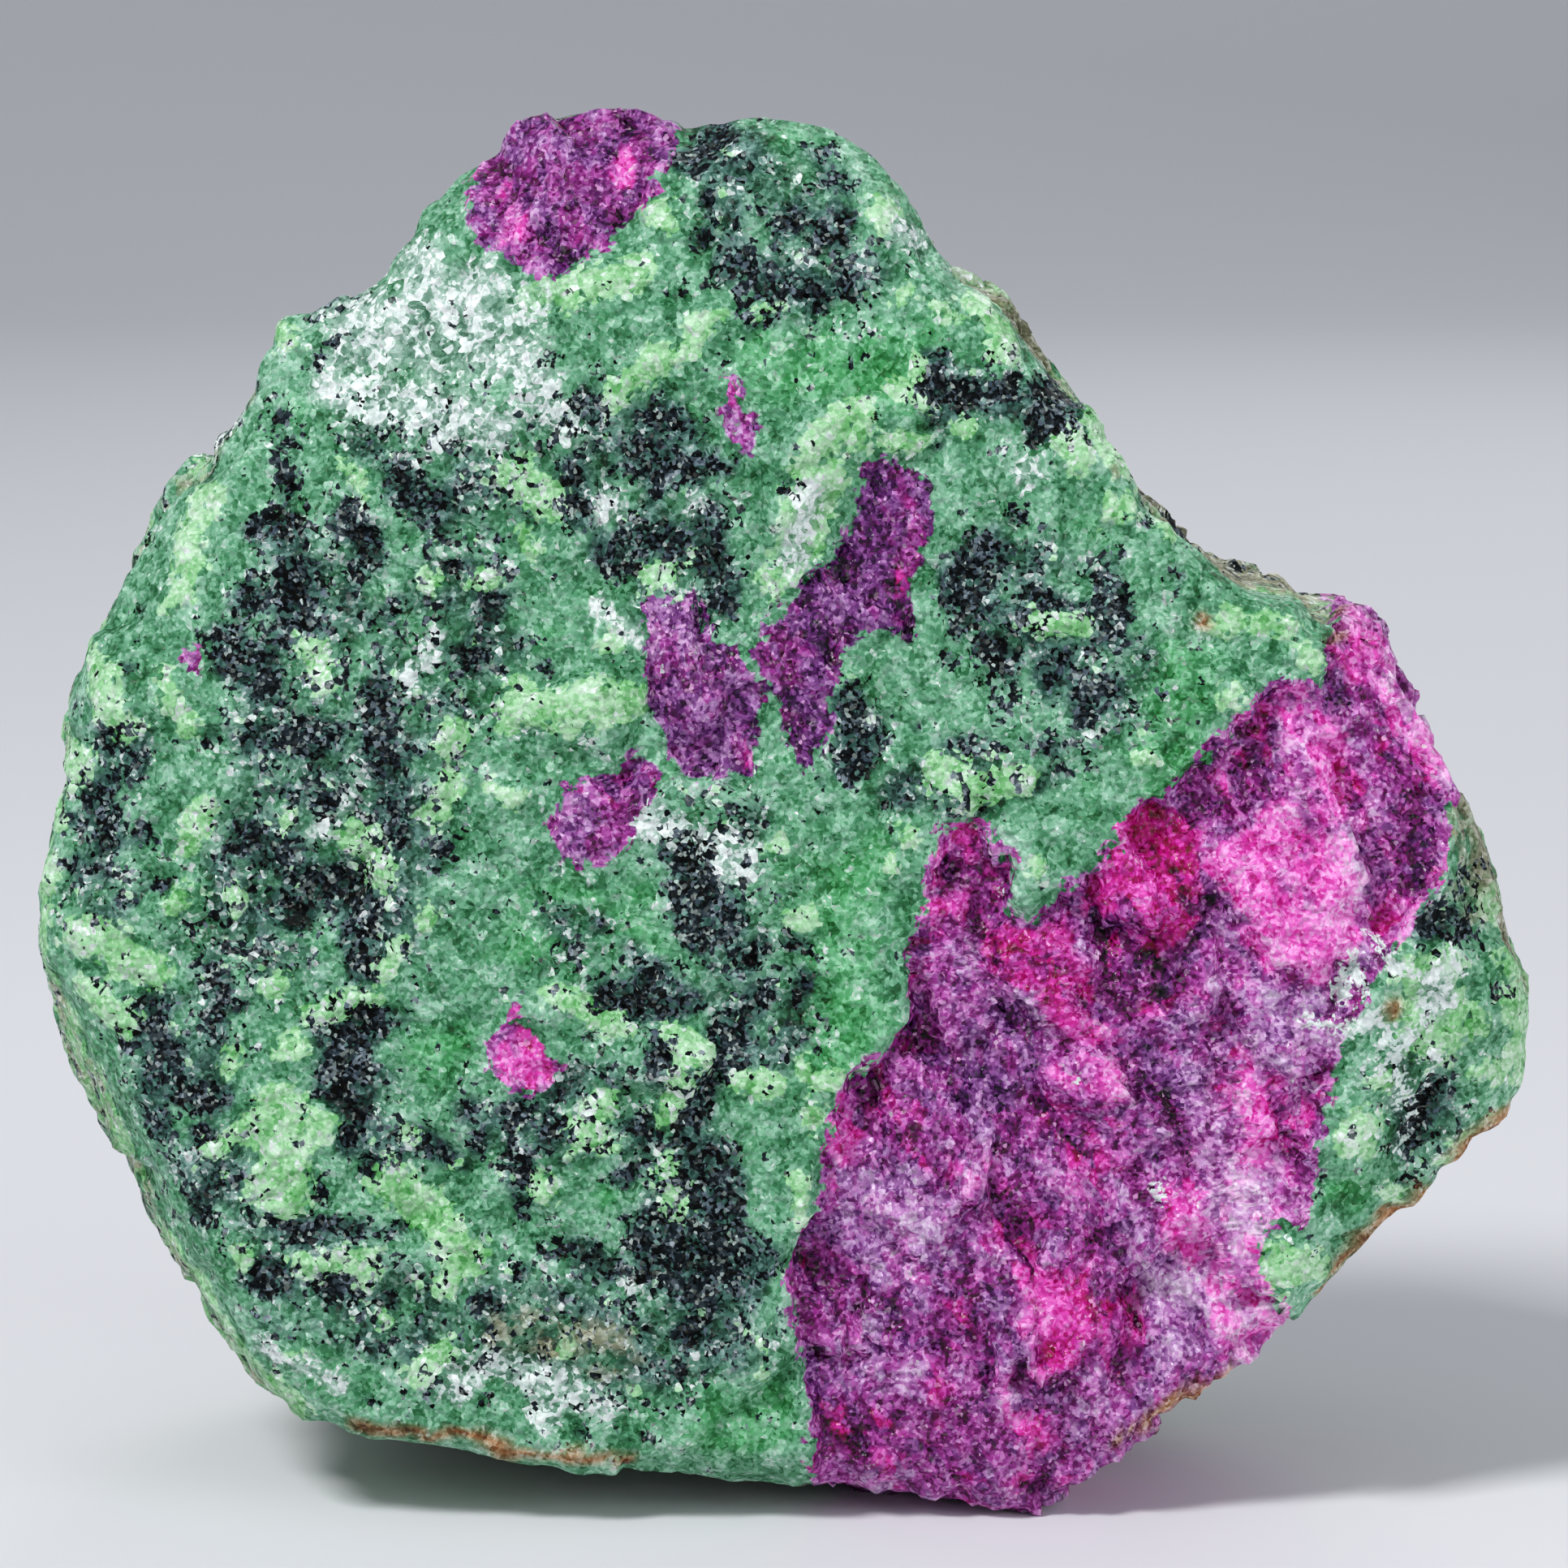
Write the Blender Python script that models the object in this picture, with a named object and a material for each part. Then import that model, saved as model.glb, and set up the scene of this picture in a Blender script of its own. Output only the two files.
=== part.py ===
"""Ruby in zoisite: one broken lump of rock, standing on the flat place under it.

The lump is a rounded box of rock with two broad broken faces, front and back, and a
wall all round between them. A cube is divided into a fine net, and the net's points
are laid on the rock: the cube's front goes on the front face, its back on the back
face and its four sides on the wall. Crease lines tilt flat facets out of the faces,
blocks raise and sink the ledges, and flat chips break up every surface. A level cut
gives the place that the rock stands on.

Sizes are millimetres until the points are written to the mesh. X runs to the right
across the front face, Y from the front to the back, and Z up from the floor.
"""

import bmesh
import bpy
import numpy as np

MILLIMETRE = 0.001

# The front face's edge, (x, z), clockwise as seen from the front, from the far left.
FRONT_EDGE = (
    (-49.5, 41.0), (-49.0, 45.5), (-48.0, 50.0), (-47.5, 54.5), (-46.0, 59.5), (-44.5, 63.5),
    (-42.0, 68.0), (-39.0, 71.5), (-36.5, 75.5), (-35.0, 78.5), (-33.5, 80.5), (-30.5, 82.0),
    (-27.5, 83.5), (-25.0, 86.5), (-24.5, 88.0), (-22.0, 90.5), (-20.0, 91.5), (-17.5, 93.5),
    (-15.0, 94.5), (-11.0, 95.0), (-8.5, 94.0), (-1.5, 94.5), (3.0, 93.5), (6.0, 92.0),
    (8.5, 88.0), (9.5, 86.0), (11.0, 84.5), (15.0, 81.5), (16.0, 79.5), (22.5, 72.5),
    (24.0, 69.5), (29.0, 65.0), (31.5, 63.5), (34.5, 63.0), (36.5, 61.0), (38.0, 61.0),
    (40.5, 59.5), (42.0, 55.5), (45.0, 50.5), (46.5, 47.0), (47.5, 43.5), (49.5, 36.5),
    (50.0, 33.5), (49.5, 30.0), (48.5, 27.0), (46.5, 26.0), (43.0, 21.5), (35.0, 14.0),
    (32.0, 11.5), (26.0, 7.0), (21.0, 3.0), (18.5, 1.5), (14.5, 0.0), (11.0, 1.0),
    (7.0, 2.0), (1.5, 3.0), (-14.5, 3.5), (-20.5, 4.0), (-27.0, 5.5), (-32.5, 7.0),
    (-35.0, 9.5), (-37.5, 14.0), (-40.0, 19.5), (-42.0, 24.0), (-45.5, 31.0), (-49.0, 37.5),
)
# The back face's edge, (x, z), in the same order. It dips below the floor, where it is cut.
BACK_EDGE = (
    (-44.0, 43.0), (-43.0, 55.0), (-37.0, 68.0), (-27.0, 78.0), (-14.0, 84.0), (-1.0, 83.0),
    (10.0, 74.0), (21.0, 63.0), (34.0, 52.0), (42.0, 43.0), (44.0, 30.0), (36.0, 16.0),
    (25.0, 5.0), (16.0, -2.0), (-6.0, -2.5), (-27.0, -2.0), (-37.0, 10.0), (-43.0, 26.0),
)
# How far the wall stands outside the front edge where it is widest, by the angle in
# degrees from the right-hand side, anticlockwise as seen from the front.
WALL_SWELL = (
    (0, 0.8), (12, 0.0), (30, -0.6), (55, -0.4), (68, 0.6), (78, -0.4), (88, -1.8),
    (115, -1.6), (135, -0.6), (150, -0.8), (165, 0.2), (180, 0.8), (196, 2.6), (207, 3.6),
    (220, 3.2), (230, 2.0), (243, 3.4), (262, 3.6), (282, 2.6), (296, 0.2), (325, 0.2),
    (340, 0.8), (360, 0.8),
)
WIDEST_AT = 0.32                 # share of the depth at which the wall is widest

HEART = (0.5, 46.0)              # the point in the faces that the outlines go round
FRONT_AT_FLOOR = -22.5           # Y of the front face at the floor
FRONT_LEAN = 0.075               # how far it leans back for each unit of height
BACK_AT_FLOOR = 21.5             # Y of the back face at the floor
BACK_LEAN = -0.085               # the back leans forward, so the rock thins upwards
RIM_ROUND = 1.6                  # how far the faces turn down at their rims
RIM_SHARE = 0.07                 # share of a face's reach that turns down

# The underside rises from the floor towards the left-hand front corner. It leaves the
# floor along the line between these points, (x, y), at this slope.
FOOT_LINE = ((14.5, -20.0), (-26.0, 20.0))
FOOT_SLOPE = 0.20

# Creases tilt a facet: from one point to another, the face on the left of the line
# falls away by the slope. Both points are (x, z).
FRONT_CREASES = (
    ((-40.0, 60.0), (-9.0, 86.0), 0.42),
    ((-17.0, 84.0), (14.0, 77.0), 0.22),
    ((-38.0, 20.0), (-37.0, 62.0), 0.24),
    ((12.0, 79.0), (40.0, 56.0), 0.20),
    ((44.0, 50.0), (33.0, 10.0), 0.48),
    ((10.0, 9.0), (-34.0, 14.0), 0.10),
)
BACK_CREASES = (
    ((-30.0, 20.0), (-24.0, 72.0), 0.34),
    ((-20.0, 62.0), (22.0, 50.0), 0.26),
    ((20.0, 60.0), (27.0, 8.0), 0.42),
    ((24.0, 22.0), (-30.0, 16.0), 0.10),
)
CREASE_ROUND = 1.2               # radius, roughly, of a crease

# The big ruby's outline in the front face, (x, z), from its foot up its left side.
RUBY = (
    (1.5, 2.0), (1.5, 7.0), (0.5, 14.0), (1.0, 18.0), (2.5, 25.0), (4.5, 30.5), (9.0, 34.5),
    (9.0, 39.5), (11.0, 48.0), (13.0, 48.5), (15.0, 46.0), (15.0, 43.0), (16.5, 41.5),
    (20.5, 45.5), (26.5, 50.5), (31.0, 56.0), (33.0, 57.5), (36.5, 57.0), (37.0, 63.0),
    (43.0, 58.0), (46.0, 49.5), (43.5, 43.0), (40.5, 39.0), (38.0, 35.5), (37.0, 30.0),
    (35.0, 24.0), (35.0, 21.0), (32.5, 20.5), (32.0, 18.0), (35.0, 13.0), (26.0, 5.0),
    (14.5, -2.0),
)
RUBY_SUNK = 1.3                  # the ruby lies this far below the rock along its border
RUBY_RISE = 11.0                 # distance over which it comes back out
RUBY_LIP = 0.5                   # the rock stands this far proud beside it

# Blocks and ledges: height (a pit is less than 0), the point where the top has no
# height, the point where it has all of it, and the outline, all (x, z).
FRONT_BLOCKS = (
    (2.2, (26.0, 50.0), (24.0, 39.5),
     ((20.5, 45.0), (23.5, 48.5), (28.5, 48.5), (28.5, 43.0), (24.5, 38.5), (20.5, 41.0))),
    (1.6, (15.0, 42.0), (19.5, 35.0),
     ((14.0, 40.5), (18.5, 41.5), (20.5, 38.0), (20.5, 34.5), (18.0, 33.5), (13.5, 37.5))),
    (1.3, (16.5, 36.5), (22.0, 29.5),
     ((17.0, 34.0), (21.5, 35.5), (23.5, 30.0), (20.0, 28.0), (17.5, 30.5))),
    (1.4, (16.0, 21.0), (19.0, 10.5),
     ((15.5, 17.5), (20.5, 18.0), (21.5, 12.0), (17.0, 9.0))),
    (1.5, (33.0, 56.0), (33.0, 38.0),
     ((29.0, 52.5), (34.0, 55.0), (39.0, 47.0), (38.5, 39.0), (34.0, 36.5), (29.5, 42.0))),
    (1.2, (32.0, 37.0), (33.0, 26.0),
     ((30.0, 35.5), (35.0, 34.5), (34.5, 26.0), (31.0, 25.0))),
    (1.2, (20.0, 26.0), (25.5, 20.0),
     ((21.0, 26.0), (26.5, 25.0), (29.0, 20.0), (25.0, 17.5), (22.0, 20.5))),
    (1.0, (6.0, 30.0), (12.0, 22.0),
     ((5.0, 29.0), (10.0, 31.0), (14.0, 24.0), (11.0, 19.0), (7.0, 21.0))),
    (-1.5, (25.0, 38.0), (20.5, 40.5),
     ((19.5, 42.5), (22.5, 41.0), (27.0, 37.0), (24.0, 34.0), (20.5, 36.0))),
    (-1.2, (29.0, 9.0), (23.0, 14.0),
     ((21.5, 16.5), (26.0, 17.0), (30.0, 11.0), (25.0, 7.5), (22.0, 10.0))),
    (1.3, (-14.0, 38.0), (-10.0, 30.0),
     ((-18.0, 35.5), (-12.0, 36.0), (-4.5, 33.5), (-4.5, 30.5), (-11.0, 30.5), (-17.0, 32.0))),
    (1.1, (4.0, 78.0), (2.0, 68.0),
     ((-1.0, 66.0), (4.0, 71.5), (9.5, 73.0), (12.5, 76.0), (4.0, 79.0), (-2.0, 73.0))),
    (-1.1, (-26.0, 30.0), (-26.0, 22.0),
     ((-30.0, 29.0), (-23.0, 31.0), (-18.0, 25.0), (-24.0, 19.5), (-30.0, 22.0))),
    (-1.0, (-8.0, 22.0), (-7.0, 12.0),
     ((-12.0, 22.0), (-4.0, 23.0), (-1.0, 14.0), (-6.0, 9.0), (-11.0, 13.0))),
    (1.0, (-22.0, 56.0), (-12.0, 54.0),
     ((-19.0, 57.0), (-11.5, 57.5), (-10.0, 54.0), (-13.0, 52.0), (-18.0, 53.0))),
    (-0.9, (-8.0, 74.0), (-9.0, 64.0),
     ((-13.0, 73.0), (-5.0, 74.0), (-5.0, 64.5), (-11.0, 63.5))),
    (-1.0, (-36.0, 52.0), (-30.0, 44.0),
     ((-38.0, 53.0), (-31.0, 55.0), (-26.0, 46.0), (-31.0, 40.0), (-37.0, 43.0))),
)
BACK_BLOCKS = (
    (2.6, (-20.0, 60.0), (6.0, 40.0),
     ((-22.0, 58.0), (-2.0, 63.0), (12.0, 52.0), (13.0, 35.0), (-4.0, 31.0), (-18.0, 40.0))),
    (-2.4, (30.0, 46.0), (18.0, 30.0),
     ((15.0, 44.0), (31.0, 46.0), (35.0, 30.0), (22.0, 20.0), (13.0, 28.0))),
    (2.0, (-34.0, 44.0), (-24.0, 28.0),
     ((-36.0, 42.0), (-24.0, 45.0), (-16.0, 30.0), (-22.0, 18.0), (-34.0, 24.0))),
    (-1.8, (-14.0, 80.0), (-6.0, 66.0),
     ((-24.0, 74.0), (-8.0, 80.0), (4.0, 70.0), (-4.0, 62.0), (-20.0, 64.0))),
    (1.6, (2.0, 24.0), (4.0, 10.0),
     ((-10.0, 20.0), (8.0, 25.0), (18.0, 14.0), (10.0, 5.0), (-8.0, 7.0))),
)
BLOCK_STEEP = 1.8                # slope of the sides of blocks and pits

# Flat chips: across, depth on the front, depth on the wall and the back, random seed.
CHIPS = (
    (26.0, 0.00, 1.60, 31),
    (13.0, 0.55, 1.00, 3),
    (6.0, 0.40, 0.60, 8),
)
CHIPS_START = 0.05               # share of the depth where the wall's chips begin to deepen
CHIPS_FULL = 0.55                # and where they are at their deepest

NET = 84                         # divisions along each edge of the cube
TRIANGLES = 8600                 # triangles left before the level cut
CUTTER = (140.0, 80.0, 30.0)     # block under the floor: width, depth and height


def chance(cell, seed):
    """Random numbers from 0 to 1 that belong to lattice cells.

    A cell's three whole numbers are multiplied by large primes, mixed and scrambled.
    """
    cell = cell.astype(np.int64)
    mixed = cell[:, 0] * 73856093 ^ cell[:, 1] * 19349663 ^ cell[:, 2] * 83492791
    mixed = (mixed ^ seed * 374761393) & 0xFFFFFFFF
    mixed = (mixed ^ mixed >> 15) * 2246822519 & 0xFFFFFFFF
    mixed = (mixed ^ mixed >> 13) * 3266489917 & 0xFFFFFFFF
    return (mixed ^ mixed >> 16) % 65536 / 65535.0


def soft_noise(points, size, seed):
    """Smooth noise from -1 to 1: lattice corners' random values, blended smoothly."""
    scaled = points / size
    corner = np.floor(scaled)
    part = scaled - corner
    part = part * part * (3.0 - 2.0 * part)
    total = np.zeros(len(points))
    for step in np.ndindex(2, 2, 2):
        weight = np.prod(np.where(step, part, 1.0 - part), axis=1)
        total += weight * chance(corner + step, seed)
    return total * 2.0 - 1.0


def flat_chips(points, size, seed):
    """Chipped relief, about -1 to 1: each point lies on its nearest seed's tilted plane."""
    scaled = points / size
    home = np.floor(scaled)
    nearest = np.full(len(points), np.inf)
    height = np.zeros(len(points))
    for step in np.ndindex(3, 3, 3):
        cell = home + np.array(step) - 1
        spot = np.stack([chance(cell, seed + axis) for axis in range(3)], axis=1)
        away = scaled - cell - spot
        distance = np.sum(away * away, axis=1)
        tilt = np.stack([chance(cell, seed + axis) for axis in range(3, 6)], axis=1) - 0.5
        plane = 2.0 * np.sum(tilt * away, axis=1) + chance(cell, seed + 6) - 0.5
        closer = distance < nearest
        nearest = np.where(closer, distance, nearest)
        height = np.where(closer, plane, height)
    return height


def blend(value, low, high):
    """Smooth step from 0 at low to 1 at high."""
    share = np.clip((value - low) / (high - low), 0.0, 1.0)
    return share * share * (3.0 - 2.0 * share)


def reach_of(outline, angle):
    """Distance from the heart to an outline, along rays at the given angles.

    Each ray meets the straight run between the two corners whose angles are either
    side of its own, and the meeting point comes from the cross products.
    """
    corners = np.array(outline) - HEART
    turn = np.arctan2(corners[:, 1], corners[:, 0]) % (2.0 * np.pi)
    order = np.argsort(turn)
    corners, turn = corners[order], turn[order]
    after = np.searchsorted(turn, angle % (2.0 * np.pi)) % len(turn)
    start, run = corners[after - 1], corners[after] - corners[after - 1]
    across = start[:, 0] * run[:, 1] - start[:, 1] * run[:, 0]
    return across / (np.cos(angle) * run[:, 1] - np.sin(angle) * run[:, 0])


def inside_distance(x, z, outline):
    """Distance to a closed outline: positive inside it and negative outside."""
    nearest = np.full(len(x), np.inf)
    inside = np.zeros(len(x), dtype=bool)
    for (ax, az), (bx, bz) in zip(outline, outline[1:] + outline[:1]):
        run_x, run_z = bx - ax, bz - az
        along = ((x - ax) * run_x + (z - az) * run_z) / (run_x ** 2 + run_z ** 2)
        along = np.clip(along, 0.0, 1.0)
        nearest = np.minimum(nearest, np.hypot(x - ax - along * run_x, z - az - along * run_z))
        if az != bz:
            crossing = ax + (z - az) * run_x / run_z
            inside ^= ((az > z) != (bz > z)) & (x < crossing)
    return np.where(inside, nearest, -nearest)


def creased(x, z, creases):
    """How far the facets past the crease lines fall away: slope times a soft ramp."""
    fall = np.zeros(len(x))
    for (ax, az), (bx, bz), slope in creases:
        past = ((bx - ax) * (z - az) - (bz - az) * (x - ax)) / np.hypot(bx - ax, bz - az)
        fall += slope * 0.5 * (past + np.sqrt(past ** 2 + CREASE_ROUND ** 2))
    return fall


def blocked(x, z, blocks):
    """Height of the blocks: the lower of a tilted top and the steep sides."""
    height = np.zeros(len(x))
    for full, (low_x, low_z), (high_x, high_z), outline in blocks:
        run_x, run_z = high_x - low_x, high_z - low_z
        share = ((x - low_x) * run_x + (z - low_z) * run_z) / (run_x ** 2 + run_z ** 2)
        top = abs(full) * np.clip(share, 0.1, 1.1)
        side = BLOCK_STEEP * np.clip(inside_distance(x, z, outline), 0.0, None)
        height += np.sign(full) * np.minimum(top, side)
    return height


def front_face(x, z):
    """Y of the front face: the leaning plane, its facets, the sunken ruby and the blocks."""
    spot = np.stack([x, np.zeros(len(x)), z], axis=1)
    x = x + 0.8 * soft_noise(spot, 3.5, 41) + 0.3 * soft_noise(spot, 1.2, 43)
    z = z + 0.8 * soft_noise(spot, 3.5, 42) + 0.3 * soft_noise(spot, 1.2, 44)
    into_ruby = inside_distance(x, z, RUBY)
    sunk = RUBY_SUNK * blend(into_ruby, -0.2, 0.9) * np.exp(-np.clip(into_ruby, 0, None) / RUBY_RISE)
    lip = RUBY_LIP * blend(-into_ruby, -0.9, 0.2) * np.exp(-np.clip(-into_ruby, 0, None) / 6.0)
    return (FRONT_AT_FLOOR + FRONT_LEAN * z + creased(x, z, FRONT_CREASES)
            + sunk - lip - blocked(x, z, FRONT_BLOCKS))


def back_face(x, z):
    """Y of the back face: its own leaning plane, facets and blocks."""
    spot = np.stack([x, np.zeros(len(x)), z], axis=1)
    x = x + 1.6 * soft_noise(spot, 6.0, 51)
    z = z + 1.6 * soft_noise(spot, 6.0, 52)
    return (BACK_AT_FLOOR + BACK_LEAN * z - creased(x, z, BACK_CREASES)
            + blocked(x, z, BACK_BLOCKS))


def above_foot(x, y, z):
    """Z, or the height of the rising underside where that is more."""
    (ax, ay), (bx, by) = FOOT_LINE
    off_floor = ((bx - ax) * (y - ay) - (by - ay) * (x - ax)) / np.hypot(bx - ax, by - ay)
    return np.maximum(z, FOOT_SLOPE * np.where(off_floor > 0.0, off_floor, 20.0 * off_floor))


def on_the_rock(net):
    """Lay the cube's points, -1 to 1 each way, on the rock before it is chipped.

    Across a face, the larger of the two sideways places is the share of the way to the
    rim, and the other one turns it round the heart. Through the depth, the wall swells
    from the front edge to its widest and draws in again to the back edge.
    """
    across, depth, up = net[:, 0], net[:, 1], net[:, 2]
    share = np.maximum(np.abs(across), np.abs(up))
    sideways = np.abs(across) >= np.abs(up)
    tilt = np.where(sideways, up, across) / np.where(sideways, across, up + (up == 0.0))
    tilt = np.where(share > 0.0, tilt, 0.0) * np.pi / 4.0
    angle = np.where(sideways, tilt + np.pi * (across < 0.0), np.pi / 2 - tilt + np.pi * (up < 0.0))
    angle = angle % (2.0 * np.pi)

    front_rim = reach_of(FRONT_EDGE, angle)
    back_rim = reach_of(BACK_EDGE, angle)
    swell_angle, swell = np.array(WALL_SWELL).T
    widest = front_rim + np.interp(np.degrees(angle), swell_angle, swell)
    through = (depth + 1.0) / 2.0
    growing = np.sin(np.pi / 2 * np.clip(through / WIDEST_AT, 0.0, 1.0))
    drawing = 1.0 - np.cos(np.pi / 2 * np.clip((through - WIDEST_AT) / (1.0 - WIDEST_AT), 0.0, 1.0))
    radius = front_rim + (widest - front_rim) * growing + (back_rim - widest) * drawing

    turned = RIM_ROUND * (1.0 - np.sqrt(1.0 - blend(share, 1.0 - RIM_SHARE, 1.0) ** 2 * 0.99))
    cos, sin = np.cos(angle) * share, np.sin(angle) * share
    y_front = front_face(HEART[0] + front_rim * cos, HEART[1] + front_rim * sin) + turned
    y_back = back_face(HEART[0] + back_rim * cos, HEART[1] + back_rim * sin) - turned
    x, z = HEART[0] + radius * cos, HEART[1] + radius * sin
    y = y_front + (y_back - y_front) * through
    return np.stack([x, y, above_foot(x, y, z)], axis=1), through


def chip(points, normals, through):
    """Move the points in and out along their normals by the flat chips."""
    off_front = blend(through, CHIPS_START, CHIPS_FULL)
    for size, front, elsewhere, seed in CHIPS:
        depth = front + (elsewhere - front) * off_front
        points = points + normals * (depth * flat_chips(points, size, seed))[:, None]
    return points


def divided_cube():
    """A cube from -1 to 1, with every side divided into a square net."""
    net = bmesh.new()
    bmesh.ops.create_cube(net, size=2.0)
    bmesh.ops.subdivide_edges(net, edges=net.edges[:], cuts=NET - 1, use_grid_fill=True)
    mesh = bpy.data.meshes.new("ruby_in_zoisite_stone")
    net.to_mesh(mesh)
    net.free()
    return mesh


def set_points(mesh, points):
    """Write the points, in millimetres, to the mesh in metres."""
    mesh.vertices.foreach_set("co", (points * MILLIMETRE).ravel())
    mesh.update()


def rock_material():
    """Zoisite with ruby: dull broken stone, mostly the zoisite's grey-green."""
    material = bpy.data.materials.new("zoisite_with_ruby")
    material.use_nodes = True
    shader = material.node_tree.nodes["Principled BSDF"]
    shader.inputs["Base Color"].default_value = (0.115, 0.300, 0.190, 1.0)
    shader.inputs["Roughness"].default_value = 0.6
    shader.inputs["Metallic"].default_value = 0.0
    return material


def make_stone(parts):
    """The rock itself, from the divided cube, still without its level place."""
    mesh = divided_cube()
    net = np.empty(len(mesh.vertices) * 3)
    mesh.vertices.foreach_get("co", net)
    points, through = on_the_rock(net.reshape(-1, 3))
    set_points(mesh, points)
    normals = np.empty(len(mesh.vertices) * 3)
    mesh.vertices.foreach_get("normal", normals)
    set_points(mesh, chip(points, normals.reshape(-1, 3), through))
    mesh.materials.append(rock_material())
    stone = bpy.data.objects.new("ruby_in_zoisite_stone", mesh)
    parts.objects.link(stone)
    return stone


def make_floor_cutter(cutters):
    """A block whose top lies on the floor, to cut the rock level where it stands."""
    width, depth, height = (side * MILLIMETRE for side in CUTTER)
    bpy.ops.mesh.primitive_cube_add(size=1.0, location=(0.0, 0.0, -height / 2.0))
    cutter = bpy.context.object
    cutter.name = "floor_cutter"
    cutter.scale = (width, depth, height)
    for collection in list(cutter.users_collection):
        collection.objects.unlink(cutter)
    cutters.objects.link(cutter)
    cutter.hide_render = True
    cutter.display_type = "WIRE"
    return cutter


def main():
    """Clear the file, then build the rock and cut it level."""
    for old in list(bpy.data.objects):
        bpy.data.objects.remove(old, do_unlink=True)
    parts = bpy.data.collections.new("ruby_in_zoisite")
    cutters = bpy.data.collections.new("cutters")
    bpy.context.scene.collection.children.link(parts)
    bpy.context.scene.collection.children.link(cutters)

    stone = make_stone(parts)
    weathered = stone.modifiers.new("weathered", "SMOOTH")
    weathered.factor = 0.5
    weathered.iterations = 2
    fewer = stone.modifiers.new("fewer faces", "DECIMATE")
    fewer.ratio = TRIANGLES / (12.0 * NET ** 2)
    level = stone.modifiers.new("level place", "BOOLEAN")
    level.operation = "DIFFERENCE"
    level.solver = "EXACT"
    level.object = make_floor_cutter(cutters)


main()
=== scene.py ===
"""Ruby in zoisite: the looks of one broken lump of rock that stands by itself.

The stone is one surface worked out with numpy, in millimetres: a cube's net of points
is laid on the rock's two broad broken faces and on the wall between them, and then
facets, blocks, ledges and ever finer chips break it up. Every point also gets amounts
of each mineral, and the stone's material turns those into grains.
"""

import bpy
import numpy as np
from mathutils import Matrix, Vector


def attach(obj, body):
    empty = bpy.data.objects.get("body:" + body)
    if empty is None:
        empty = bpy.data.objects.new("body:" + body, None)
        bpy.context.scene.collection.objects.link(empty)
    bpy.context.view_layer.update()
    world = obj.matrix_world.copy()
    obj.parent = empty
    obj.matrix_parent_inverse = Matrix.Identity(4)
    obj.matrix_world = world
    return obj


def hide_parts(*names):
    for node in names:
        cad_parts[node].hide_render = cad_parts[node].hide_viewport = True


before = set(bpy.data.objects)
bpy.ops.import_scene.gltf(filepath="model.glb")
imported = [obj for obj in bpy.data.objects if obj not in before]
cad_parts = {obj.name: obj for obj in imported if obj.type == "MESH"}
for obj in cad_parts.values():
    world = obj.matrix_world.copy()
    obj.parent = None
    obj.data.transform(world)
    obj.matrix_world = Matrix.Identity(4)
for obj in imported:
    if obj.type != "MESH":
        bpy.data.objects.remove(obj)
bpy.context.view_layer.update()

bl_info = {
    "name": "Ruby in Zoisite",
    "version": (1, 0, 0),
    "blender": (4, 5, 0),
    "location": "View3D > Sidebar > Ruby in Zoisite",
    "description": "Builds a rough lump of zoisite with ruby and hornblende, and its stage",
    "category": "Add Mesh",
}

MILLIMETRE = 0.001
NODE = "ruby_in_zoisite_stone"

# -------------------- The stone's form, in millimetres: X to the right, Y from front to back, Z up.

# The front face's edge, (x, z), clockwise as seen from the front, from the far left.
FRONT_EDGE = (
    (-49.5, 41), (-49, 45.5), (-48, 50), (-47.5, 54.5), (-46, 59.5), (-44.5, 63.5), (-42, 68),
    (-39, 71.5), (-36.5, 75.5), (-35, 78.5), (-33.5, 80.5), (-30.5, 82), (-27.5, 83.5), (-25, 86.5),
    (-24.5, 88), (-22, 90.5), (-20, 91.5), (-17.5, 93.5), (-15, 94.5), (-11, 95), (-8.5, 94),
    (-1.5, 94.5), (3, 93.5), (6, 92), (8.5, 88), (9.5, 86), (11, 84.5), (15, 81.5), (16, 79.5),
    (22.5, 72.5), (24, 69.5), (29, 65), (31.5, 63.5), (34.5, 63), (36.5, 61), (38, 61),
    (40.5, 59.5), (42, 55.5), (45, 50.5), (46.5, 47), (47.5, 43.5), (49.5, 36.5), (50, 33.5),
    (49.5, 30), (48.5, 27), (46.5, 26), (43, 21.5), (35, 14), (32, 11.5), (26, 7), (21, 3),
    (18.5, 1.5), (14.5, 0), (11, 1), (7, 2), (1.5, 3), (-14.5, 3.5), (-20.5, 4), (-27, 5.5),
    (-32.5, 7), (-35, 9.5), (-37.5, 14), (-40, 19.5), (-42, 24), (-45.5, 31), (-49, 37.5),
)
# The back face's edge, (x, z), in the same order. It dips below the floor, where it is level.
BACK_EDGE = (
    (-44, 43), (-43, 55), (-37, 68), (-27, 78), (-14, 84), (-1, 83), (10, 74), (21, 63), (34, 52),
    (42, 43), (44, 30), (36, 16), (25, 5), (16, -2), (-6, -2.5), (-27, -2), (-37, 10), (-43, 26),
)
# How far the wall stands outside the front edge where it is widest, by the angle in
# degrees from the right-hand side, anticlockwise as seen from the front.
WALL_SWELL = (
    (0, 0.8), (12, 0), (30, -0.6), (55, -0.4), (68, 0.6), (78, -0.4), (88, -1.8), (115, -1.6),
    (135, -0.6), (150, -0.8), (165, 0.2), (180, 0.8), (196, 2.6), (207, 3.6), (220, 3.2), (230, 2),
    (243, 3.4), (262, 3.6), (282, 2.6), (296, 0.2), (325, 0.2), (340, 0.8), (360, 0.8),
)
WIDEST_AT = 0.32                 # share of the depth at which the wall is widest

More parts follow.
